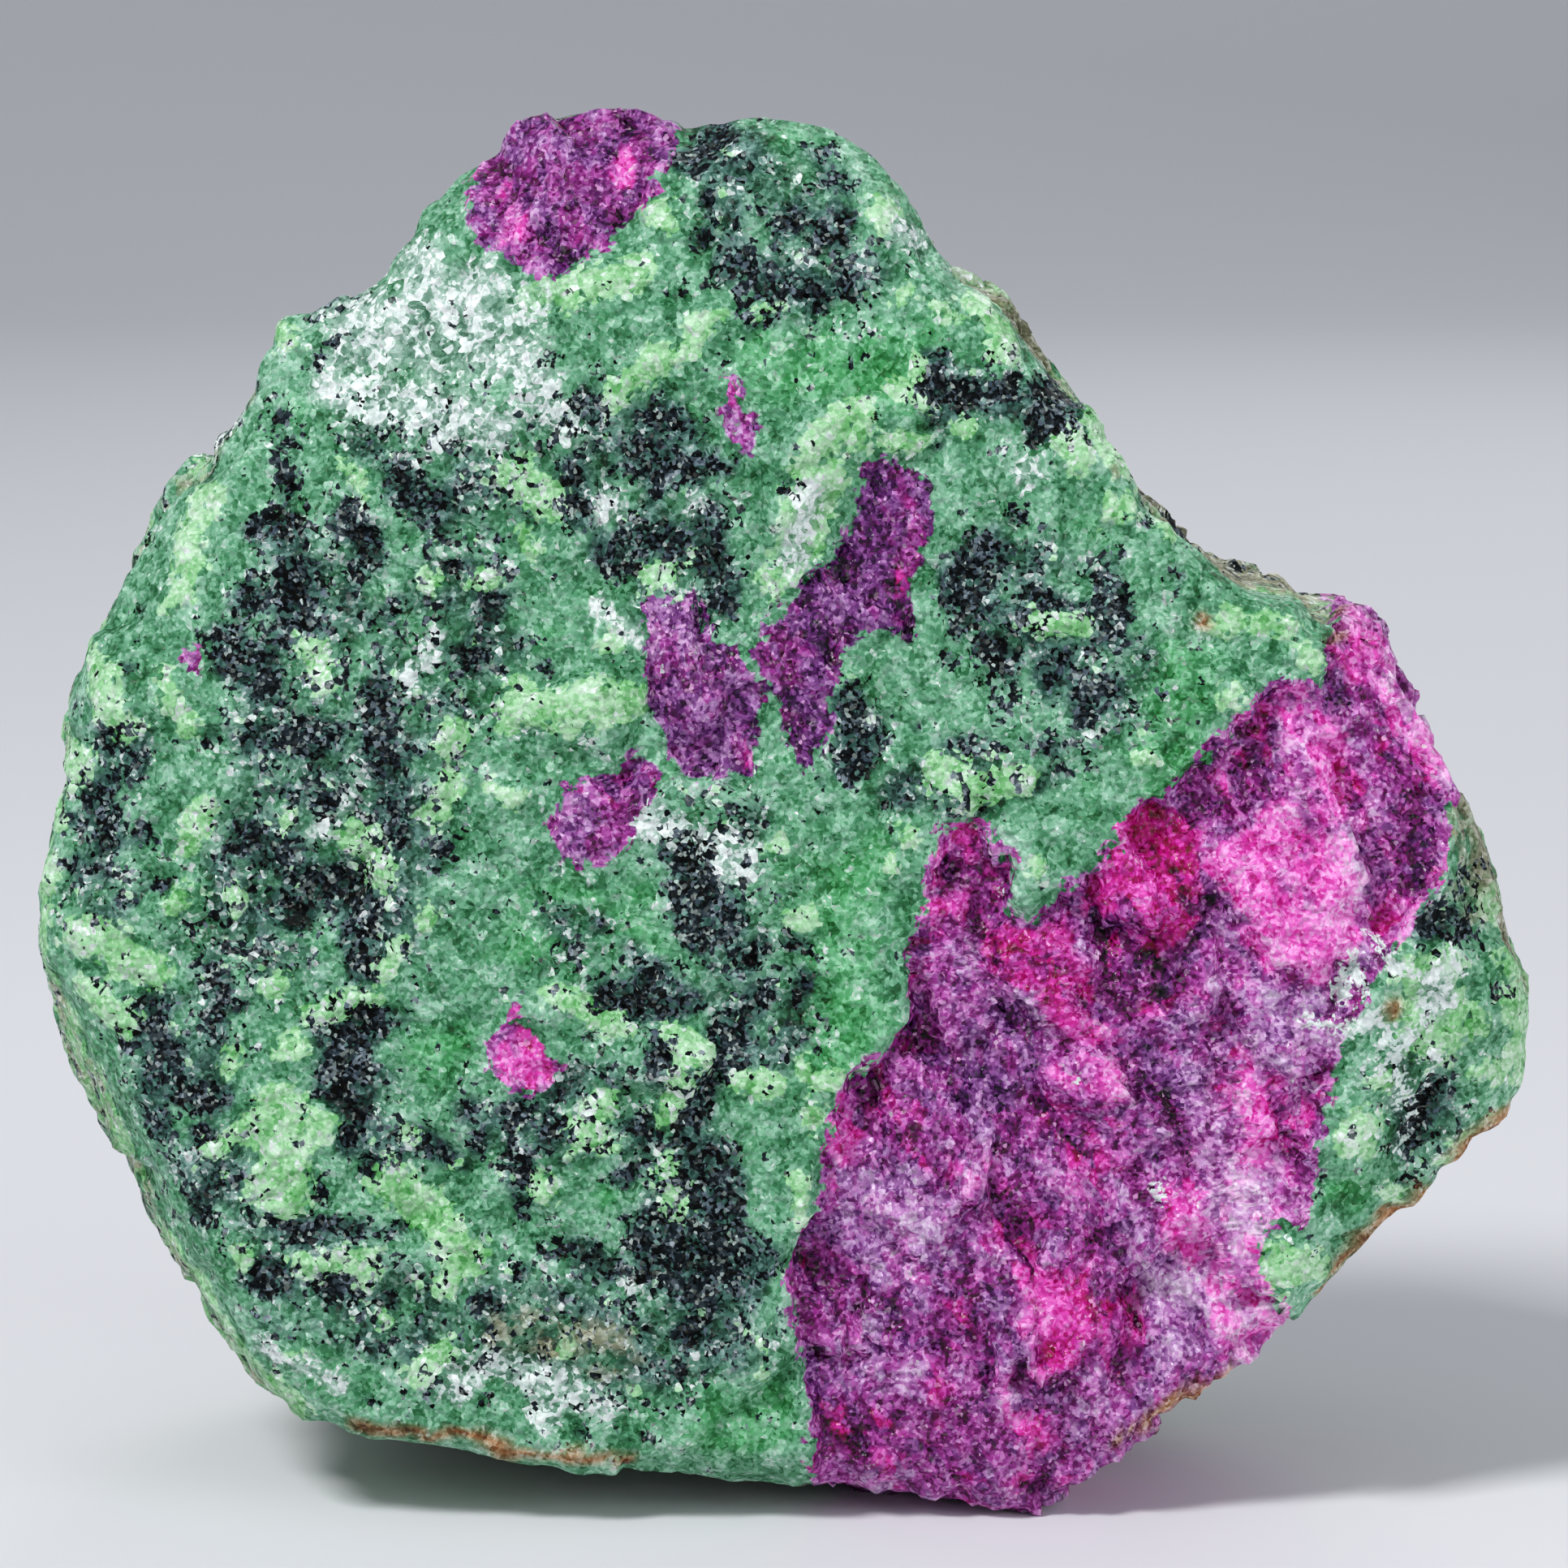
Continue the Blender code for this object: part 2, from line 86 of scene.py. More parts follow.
HEART = (0.5, 46.0)              # the point in the faces that the outlines go round
FRONT_AT_FLOOR = -22.5           # Y of the front face at the floor
FRONT_LEAN = 0.075               # how far it leans back for each unit of height
BACK_AT_FLOOR = 21.5             # Y of the back face at the floor
BACK_LEAN = -0.085               # the back leans forward, so the rock thins upwards
RIM_ROUND = 1.6                  # how far the faces turn down at their rims
RIM_SHARE = 0.07                 # share of a face's reach that turns down
RIM_TURN = 0.99                  # less than 1, so that the turn ends short of upright
# Noise that makes straight lines ragged: how far, size of the noise, random seed.
FRONT_SWAY = ((0.8, 3.5, 41), (0.3, 1.2, 43))
BACK_SWAY = ((1.6, 6.0, 51),)

# The underside rises from the floor towards the left-hand front corner. It leaves the
# floor along the line between these points, (x, y), at this slope.
FOOT_LINE = ((14.5, -20.0), (-26.0, 20.0))
FOOT_SLOPE = 0.20
FOOT_DROP = 20.0                 # the slope is this many times as steep, down, past the line

# Creases tilt a facet: from one point to another, the face on the left of the line
# falls away by the slope. Both points are (x, z).
FRONT_CREASES = (
    ((-40, 60), (-9, 86), 0.42),
    ((-17, 84), (14, 77), 0.22),
    ((-38, 20), (-37, 62), 0.24),
    ((12, 79), (40, 56), 0.20),
    ((44, 50), (33, 10), 0.48),
    ((10, 9), (-34, 14), 0.10),
)
BACK_CREASES = (
    ((-30, 20), (-24, 72), 0.34),
    ((-20, 62), (22, 50), 0.26),
    ((20, 60), (27, 8), 0.42),
    ((24, 22), (-30, 16), 0.10),
)
CREASE_ROUND = 1.2               # radius, roughly, of a crease

# The big ruby's outline in the front face, (x, z), from its foot up its left side.
RUBY = (
    (1.5, 2), (1.5, 7), (0.5, 14), (1, 18), (2.5, 25), (4.5, 30.5), (9, 34.5), (9, 39.5), (11, 48),
    (13, 48.5), (15, 46), (15, 43), (16.5, 41.5), (20.5, 45.5), (26.5, 50.5), (31, 56), (33, 57.5),
    (36.5, 57), (37, 63), (43, 58), (46, 49.5), (43.5, 43), (40.5, 39), (38, 35.5), (37, 30),
    (35, 24), (35, 21), (32.5, 20.5), (32, 18), (35, 13), (26, 5), (14.5, -2),
)
RUBY_SUNK = 1.3                  # the ruby lies this far below the rock along its border
RUBY_RISE = 11.0                 # distance over which it comes back out
RUBY_LIP = 0.5                   # the rock stands this far proud beside it
LIP_FADES = 6.0                  # distance over which that goes
RUBY_STEP = (-0.2, 0.9)          # distances into the ruby over which it drops
LIP_STEP = (-0.9, 0.2)           # distances out of it over which the lip rises

# Facets of the big ruby that stand out as blocks and have a shade of their own, (x, z).
HIGH_FACET = ((20.5, 45), (23.5, 48.5), (28.5, 48.5), (28.5, 43), (24.5, 38.5), (20.5, 41))
INNER_FACET = ((14, 40.5), (18.5, 41.5), (20.5, 38), (20.5, 34.5), (18, 33.5), (13.5, 37.5))
LOW_FACET = ((15.5, 17.5), (20.5, 18), (21.5, 12), (17, 9))
# Blocks and ledges: height (a pit is less than 0), the point where the top has no
# height, the point where it has all of it, and the outline, all (x, z).
FRONT_BLOCKS = (
    (2.2, (26, 50), (24, 39.5), HIGH_FACET),
    (1.6, (15, 42), (19.5, 35), INNER_FACET),
    (1.3, (16.5, 36.5), (22, 29.5), ((17, 34), (21.5, 35.5), (23.5, 30), (20, 28), (17.5, 30.5))),
    (1.4, (16, 21), (19, 10.5), LOW_FACET),
    (1.5, (33, 56), (33, 38), ((29, 52.5), (34, 55), (39, 47), (38.5, 39), (34, 36.5), (29.5, 42))),
    (1.2, (32, 37), (33, 26), ((30, 35.5), (35, 34.5), (34.5, 26), (31, 25))),
    (1.2, (20, 26), (25.5, 20), ((21, 26), (26.5, 25), (29, 20), (25, 17.5), (22, 20.5))),
    (1, (6, 30), (12, 22), ((5, 29), (10, 31), (14, 24), (11, 19), (7, 21))),
    (-1.5, (25, 38), (20.5, 40.5), ((19.5, 42.5), (22.5, 41), (27, 37), (24, 34), (20.5, 36))),
    (-1.2, (29, 9), (23, 14), ((21.5, 16.5), (26, 17), (30, 11), (25, 7.5), (22, 10))),
    (1.3, (-14, 38), (-10, 30), ((-18, 35.5), (-12, 36), (-4.5, 33.5), (-4.5, 30.5), (-11, 30.5),
     (-17, 32))),
    (1.1, (4, 78), (2, 68), ((-1, 66), (4, 71.5), (9.5, 73), (12.5, 76), (4, 79), (-2, 73))),
    (-1.1, (-26, 30), (-26, 22), ((-30, 29), (-23, 31), (-18, 25), (-24, 19.5), (-30, 22))),
    (-1, (-8, 22), (-7, 12), ((-12, 22), (-4, 23), (-1, 14), (-6, 9), (-11, 13))),
    (1, (-22, 56), (-12, 54), ((-19, 57), (-11.5, 57.5), (-10, 54), (-13, 52), (-18, 53))),
    (-0.9, (-8, 74), (-9, 64), ((-13, 73), (-5, 74), (-5, 64.5), (-11, 63.5))),
    (-1, (-36, 52), (-30, 44), ((-38, 53), (-31, 55), (-26, 46), (-31, 40), (-37, 43))),
)
BACK_BLOCKS = (
    (2.6, (-20, 60), (6, 40), ((-22, 58), (-2, 63), (12, 52), (13, 35), (-4, 31), (-18, 40))),
    (-2.4, (30, 46), (18, 30), ((15, 44), (31, 46), (35, 30), (22, 20), (13, 28))),
    (2, (-34, 44), (-24, 28), ((-36, 42), (-24, 45), (-16, 30), (-22, 18), (-34, 24))),
    (-1.8, (-14, 80), (-6, 66), ((-24, 74), (-8, 80), (4, 70), (-4, 62), (-20, 64))),
    (1.6, (2, 24), (4, 10), ((-10, 20), (8, 25), (18, 14), (10, 5), (-8, 7))),
)
BLOCK_STEEP = 1.8                # slope of the sides of blocks and pits
BLOCK_TOP = (0.1, 1.1)           # a top's least and greatest share of its height

# Flat chips: across, depth on the front, depth on the wall and the back, random seed.
CHIPS = (
    (26.0, 0.00, 1.60, 31),
    (13.0, 0.65, 1.00, 3),
    (6.0, 0.36, 0.50, 8),
    (2.8, 0.22, 0.22, 61),
    (1.3, 0.14, 0.12, 71),
)
CHIPS_START = 0.05               # share of the depth where the wall's chips begin to deepen
CHIPS_FULL = 0.55                # and where they are at their deepest
# The ruby parts in long splinters that run this many degrees down to the right.
SPLINTER_RUN = 62.0
SPLINTERS = ((8.0, 3.6, 0.80, 81), (3.0, 1.5, 0.25, 91))   # long, across, depth, seed

PALE_STANDS = 0.36               # the pale zoisite stands this far proud
HORNBLENDE_SINKS = 0.30          # and the hornblende lies this far below the rest
SURFACE_SINKS = 0.10             # the broken surface lies this far inside the solid, in all
HOLLOW_ROUNDS = 10               # smoothing rounds that tell a hollow, painted darker, from a ridge, painted lighter
HOLLOW_DEPTH = 0.5               # a hollow this deep gets the darkest painted shade

NET_ACROSS = 168                 # divisions of each side of the front and back faces
NET_THROUGH = 62                 # divisions of the wall from front to back

# -------------------- Where the minerals lie, in millimetres.

# Rubies: outline (x, z), and the span of Y that each one reaches through. The big one
# reaches out past the rim, so the corners of its outline there give way to wider ones.
RUBIES = (
    (RUBY[:18] + ((36.5, 66), (48, 64), (48.5, 52), (45.5, 48)) + RUBY[21:-3]
     + ((35, 13), (40, 4), (14, -8), (2, -6)), -40, 4),
    (((-21.5, 89), (-18, 98), (-8.5, 99), (-7.5, 92.5), (-9, 89.5), (-13, 86), (-15.5, 84),
      (-17.5, 84), (-21, 87)), -40, -6),
    (((-4.5, 77.5), (-3.5, 77.5), (-1.8, 74), (-2.2, 72.3), (-3.2, 73), (-4, 75)), -40, -16),
    (((4.5, 71), (6.5, 72), (10, 70), (9.5, 65), (8.5, 60), (6.5, 61.5), (3.5, 59.5), (3, 56.5),
      (2, 51.5), (1, 52.5), (0, 55.5), (-2.5, 59), (-0.5, 62.5), (3.5, 65), (4.5, 68)), -40, -14),
    (((-9, 62), (-6.5, 63), (-5, 60), (-3, 59.5), (-1.5, 56.5), (-1.5, 54), (-3, 50.5), (-6, 51),
      (-9, 55.5), (-9.5, 59.5)), -40, -14),
    (((-13.5, 51), (-10, 52), (-8, 51), (-9.5, 49.5), (-11, 45.5), (-14.5, 45.5), (-15.5, 47),
      (-14.5, 49.5)), -40, -15),
    (((-20, 33.5), (-18.5, 35.5), (-17, 33.5), (-15.5, 31.5), (-15.5, 29.5), (-19, 29.5)), -40, -17),
    (((-40, 59.5), (-38.8, 59.5), (-38.8, 57.5), (-40, 57.5)), -40, -15),
    (((6, 60), (16, 56), (24, 44), (20, 30), (10, 26), (4, 40), (-2, 50)), 6, 40),
    (((-34, 40), (-26, 46), (-18, 36), (-22, 22), (-32, 24)), 8, 40),
    (((-6, 80), (2, 78), (4, 68), (-6, 66), (-10, 74)), 3, 40),
    (((-60, 60), (-44, 64), (-42, 52), (-60, 48)), -2, 9),
)
# The other minerals and shades on the front face are spots, (x, z, radius), and
# runs from one place to another, (x, z, x, z, radius).
HORNBLENDE = (
    (-31.5, 81.5, -28.6, 82.8, 0.8), (-31.4, 78.6, -30.2, 80.2, 0.9), (-36, 76, 0.7),
    (-37.7, 73.8, 0.6), (-38.7, 70.8, 0.7), (-43, 66.2, 0.7), (-43.5, 61.7, 0.7),
    (-43.2, 59.6, 0.5), (-44.2, 57.3, 0.5), (-33.4, 74.5, -32.9, 70.3, 1.3), (-34.2, 70.3, 0.8),
    (-35.5, 67.7, -32.9, 67.5, 1.3), (-28.9, 67.7, -27.4, 66.2, 1.1), (-26, 70.8, -23.6, 69.2, 1.3),
    (-23, 75.4, 0.6), (-22, 80.9, 0.5), (-14.2, 71, -13.9, 68.8, 0.9), (-14.3, 74.6, 0.6),
    (-12.4, 75.4, 0.6), (-15.1, 79.6, 0.6), (-13.7, 76.7, 0.5), (-11.4, 65.4, 1.7),
    (-8.2, 66.9, 1.5), (-4.5, 68.5, -5, 66, 1.3), (-32.8, 64.2, -32.5, 61.2, 1.4), (-36, 62.6, 1.2),
    (-37.5, 59.5, -35, 57.5, 1.6), (-19.6, 62.4, 0.9), (-21.2, 58.4, 1), (-26.2, 62.4, 0.5),
    (-26.8, 57.1, -27.2, 54.5, 1.1), (-15.3, 58.7, 0.6), (-22, 65, 0.5),
    (-4.2, 93.4, -6.4, 91.8, 0.9), (-5.5, 89.5, 0.6), (2.5, 92.6, 4.3, 90.4, 1), (0.8, 87.6, 0.9),
    (2.7, 86.5, 1.2), (4, 87.8, 0.8), (-3.6, 84.5, -0.4, 83.8, 1.2), (-2.9, 82.3, 0.8),
    (1.6, 83.6, 4, 83.8, 0.8), (2.2, 82, 0.5), (-6.6, 83.8, 0.8), (-5.6, 86.8, 0.8),
    (-2.6, 80.6, -0.8, 80.9, 0.7), (-4.1, 79.3, 0.7), (5, 78.5, 0.35), (9.9, 77.2, 14.7, 76.4, 0.8),
    (10.9, 78.5, 0.9), (17.2, 76.5, 19.2, 76.4, 0.9), (18.2, 76.5, 17.6, 73.9, 1.1),
    (15.5, 77.7, 0.4), (9.9, 73, 0.5), (6.1, 74.6, 0.35), (-8.7, 71.6, -3.2, 72.2, 1.3),
    (-8.2, 75.1, -5.5, 73.6, 1.2), (0.7, 71.1, 0.7), (-3.7, 62.8, 1.4), (13.4, 67, 12.2, 61.5, 1.6),
    (15.7, 68.7, 0.8), (18.9, 67.9, 0.4), (21.8, 65, 21.9, 61.5, 1.4), (17.4, 62.8, 0.9),
    (26.1, 64.3, 0.9), (25.8, 66.6, 0.5), (22.8, 67.7, 0.3), (24.1, 67.7, 0.3),
    (14.4, 59, 14.3, 56, 1.3), (11.2, 58.9, 0.6), (18.2, 57.6, 1.1), (19.8, 56.4, 21.8, 56.2, 1),
    (17.9, 53, 0.8), (12.1, 52.9, 0.5), (9.3, 53.9, 0.5), (4.5, 56, 5.2, 52.5, 1.5),
    (2.9, 50.6, 0.7), (2.9, 48, 0.4), (-7, 45.3, -5, 42, 1.6), (-4.9, 42, 1.7), (-6, 40.1, 0.9),
    (-2.2, 39.3, 1), (0.7, 39.9, 0.9), (1, 36.9, 0.6), (-8.9, 38, 1), (-12, 36.2, -7.5, 35.8, 0.9),
    (-6.2, 35.6, 0.8), (-1.8, 36.4, -2.4, 35.4, 0.8), (-3.6, 34, -3.4, 33, 1.2), (-7.6, 32.4, 1.3),
    (-3.9, 32, -5.7, 27.8, 0.9), (-6, 26.7, 0.8), (-10.1, 27.5, 0.9), (-14.9, 27, 0.8),
    (-12.9, 33.7, 0.4), (-14.8, 30, 0.6), (-4.9, 25.2, -4.6, 21, 1.9), (-8.5, 19, -2.5, 18.5, 2.6),
    (-5.5, 16.8, 2.4), (-6, 13.4, 1.3), (-7, 10.7, 0.4), (-17.8, 28, 1), (-21.2, 28.5, 0.8),
    (-17.6, 24.6, -17.2, 22, 1.1), (-20.4, 25.9, 0.7), (-24, 26.5, -21.5, 24.6, 0.7),
    (-15.9, 19.4, -11.6, 17.8, 0.9), (-17.5, 17.8, 0.6), (-19.6, 16.1, 0.9), (-11.2, 23.7, 0.8),
    (-28.4, 41.8, -27.8, 38, 1.3), (-35.6, 46.9, -29.4, 43.4, 1.4), (-32.9, 42.3, 1),
    (-22.2, 45.8, 1.1), (-19.5, 42, 0.6), (-35.3, 53.3, -30.5, 53.6, 1), (-38.8, 53, 0.6),
    (-26.7, 52.3, 1.6), (-25.9, 49.3, -25.9, 47.1, 0.9), (-32.6, 49.6, 0.7), (-30.5, 49.3, 0.6),
    (-45.2, 53.3, 0.9), (-43.6, 51.5, 0.8), (-46.2, 49.8, -45.6, 46.6, 1), (-42.8, 46.9, 0.8),
    (-47.9, 46.9, 0.5), (-48.2, 44.2, 0.6), (-45.5, 44.5, 0.7), (-42.3, 43.9, 0.8),
    (-43.9, 42.3, 0.7), (-46, 36.4, 0.5), (-37.8, 37, -38.6, 33.8, 0.7), (-36.6, 35.3, 0.6),
    (-42.8, 34.5, -41.9, 32, 1.2), (-44.4, 33.1, 0.6), (-42, 30.3, -38.5, 29.7, 1.1),
    (-41.7, 27.2, 0.9), (-39, 27.2, 0.5), (-28.3, 33.9, -26.2, 34.2, 1.1),
    (-29.5, 32.8, -29.8, 30, 1.9), (-28.8, 28.8, 1.2), (-29.5, 26.5, 1), (-27.6, 24.6, 0.8),
    (-33.5, 26.7, 0.4), (-38, 23.3, -39.2, 21, 0.6), (-31.7, 24.2, -30.6, 22.6, 0.7),
    (-34, 20.6, -25.5, 20.3, 0.8), (-34.7, 16.9, 1.2), (-30.1, 16.7, 1.3), (-26.3, 15.9, 0.7),
    (-28.2, 11.8, 0.5), (-20.7, 8.6, 0.4), (-28, 8.6, 0.6), (-14.3, 6.1, 0.6), (-9.4, 6.1, 0.5),
    (44, 41.2, 46.6, 39.6, 1.2), (43.2, 41.1, 0.9), (41.3, 38.2, 0.7), (44.2, 28.9, 43, 27, 1.1),
    (43.2, 25.8, 0.6), (35, 19.8, 0.5), (42.5, 22.6, 0.5), (48.7, 35.4, 0.8),
    (36.3, 23.8, 35.7, 22.8, 0.6), (46.4, 44.4, 47.4, 42, 0.8), (47, 40.6, 48.4, 38.4, 0.9),
    (44, 38.8, 0.8),
)
PALE_ZOISITE = (
    (-17.2, 82.6, -10, 84.8, 1.2), (-8.2, 88.3, 1.2), (-11, 76.5, -4.8, 81.3, 1), (-5.3, 81.2, 1.3),
    (-2, 81.5, -0.2, 82.5, 0.5), (6.7, 88.3, 1.2), (8, 82.8, 1), (10.9, 81.7, 1.1),
    (13, 81.9, 14.8, 79.5, 1), (9.4, 78.5, 9.6, 76.3, 0.6), (7.7, 77.2, 0.9),
    (5.3, 75.4, 1.6, 72.5, 1.3), (4.5, 73.8, 1.5), (8.8, 73.8, 7, 73, 0.7), (11.7, 74.3, 0.9),
    (2.2, 70.3, 1.2, 66.5, 2.1), (0.4, 64.3, 1.2), (-8.2, 64.2, 0.9), (-1, 64, 0.8),
    (19.2, 72.4, 1.4), (21, 74.3, 23, 71.8, 1.2), (22.4, 68.5, 1.5), (25.5, 67, 0.8),
    (16.8, 61.3, 19.5, 61, 0.8), (-18.2, 70.9, -15.5, 69.5, 1.4), (-23.8, 64, 0.9),
    (-17.2, 66.6, 1), (-20.6, 64.3, 0.8), (-17.8, 56, -10.5, 56, 1.7), (-22.4, 53.3, 1.3),
    (-33.2, 48.2, 0.7), (-28.3, 46.6, -26.6, 44.6, 1.4), (-23.8, 41.5, 0.7), (-36.9, 42, 1),
    (-40.9, 42.6, 1), (-46, 39.4, -42.5, 37.5, 1.6), (-47, 36, -44, 34, 1.2), (-34.2, 36.9, 1.2),
    (-31.6, 35.3, -27.5, 35.6, 0.8), (-33.2, 32.6, 1.2), (-37.2, 32.1, 1),
    (-34, 28.5, -33.8, 23, 2.2), (-31, 27.5, 1), (-26.5, 23.6, -21.5, 19, 1.5), (-22.3, 17.2, 1),
    (-31.5, 18, -28, 17.8, 0.9), (-36.3, 18.3, 0.9), (-26.9, 14.2, 0.7), (-24.9, 26.8, 0.6),
    (-22.1, 24.9, 0.6), (-15.9, 23.5, 0.9), (-13, 27, 1.6), (-12.1, 29.1, 1),
    (-16, 36.3, -10.5, 34.6, 1), (-7.6, 34, -5, 32.6, 0.7), (-6.3, 30.5, -7.6, 28.6, 1.1),
    (-7.5, 24.8, -7.2, 21.8, 1), (-2.8, 30.7, -1.2, 30.2, 0.8), (1.3, 31, 4.4, 30.2, 0.8),
    (2, 28, 1.1), (1, 24, 1, 21.3, 0.6), (-0.6, 46.3, 0.7), (1.2, 42, 0.8), (6.6, 45, 0.7),
    (8.8, 46.9, 1), (10.8, 51, 15.6, 50.8, 1.3), (16.5, 45.3, 0.8), (24.4, 51.9, 0.5),
    (30, 56.5, 1), (35.1, 58.8, 1.1), (29, 61.5, 34, 61, 1), (-14.8, 12.6, 0.8), (-33.1, 12.1, 0.6),
    (-2, 12.9, 0.5), (-2, 10.5, 0.5), (43.2, 37.2, 43.8, 34, 2.8), (38.2, 26.7, 1.9),
    (33.7, 18, 1.8), (36, 17.2, 1.2), (47.5, 30.6, 1), (49.2, 38.5, 49.6, 30, 0.8), (46.5, 34, 1.2),
    (41.5, 22, 0.9), (45.5, 24.6, 48.5, 26.8, 0.7), (40, 30.5, 0.9), (48, 43.5, 48.9, 40.5, 0.5),
    (-38.5, 69, -41, 62.5, 1.2), (-46, 58.4, -44.5, 54, 0.9), (-49.5, 44, -50.2, 36, 0.7),
    (-49, 33, -46, 24, 1), (-45, 21.5, -39.5, 14, 0.9), (-38.5, 12.5, -33, 7.5, 0.8),
    (-38, 26, -36, 28, 0.9), (-24.5, 11, -22.5, 12.5, 0.8), (-31.5, 60, -30.5, 57.5, 0.7),
    (-23.5, 48.5, -22, 50.5, 0.8), (-29.5, 72, -28.5, 70, 0.7), (-47.5, 52, -48.8, 47, 0.6),
    (-26.5, 37.5, -25.5, 39.5, 0.7), (-19, 50.5, -17.5, 49.5, 0.6), (-40, 46.5, -39, 49, 0.8),
    (-12, 59.5, -11, 60.5, 0.6), (-33, 79.7, 0.9), (-41.5, 57, -40.5, 54, 1),
)
FROST = (
    (-29, 80, -18, 80.5, 3), (-27, 75.8, -19, 74.8, 1.7), (-19, 81, -14, 74, 1.4),
    (-27, 82, -20, 83.5, 2.2), (-25, 85, -19.5, 80.5, 2.2), (-21, 80, -16.5, 78.5, 1.4),
    (-30, 76, -26.5, 76.4, 1.4), (-23.6, 73, -19.8, 75.1, 0.9), (1.4, 90.2, 0.7),
    (8, 87, 9.2, 86, 0.8), (16.3, 71.1, 0.9), (-6, 69.3, 0.7), (-11.7, 69.3, 0.8),
    (-9.5, 48.5, -3, 45.5, 1.5), (-12.7, 44.5, 0.5), (-15.1, 44.7, 0.5), (1.6, 65.5, 0.5),
    (-20.7, 11, -22, 9.6, 1), (-16.7, 8, 1.2), (-12.1, 7.8, 0.7), (-10.2, 16.9, 0.7),
    (1.6, 70, 0.4, 65, 1), (-20, 11.5, -12, 8.5, 1.6), (-23.5, 60.5, -25, 57, 0.6),
    (-31, 47, -29, 50, 0.6), (-12.5, 62, -9, 60, 0.5), (-35.5, 13, -30, 9.5, 0.7),
    (-45.5, 45.5, 0.6), (-17.9, 25.9, 0.5), (-17, 54.1, 0.5), (-13.2, 53.7, 0.5),
    (43.8, 36.9, 43.6, 35, 1.3), (25.2, 24.3, 0.45), (40.8, 39.7, 0.6), (39.4, 38.2, 35, 35.6, 0.5),
    (37.9, 35.7, 39.2, 34.3, 0.6), (42.2, 33.7, 41.5, 30.3, 0.45), (40.8, 29.1, 0.5),
    (43.9, 31.5, 0.6),
)
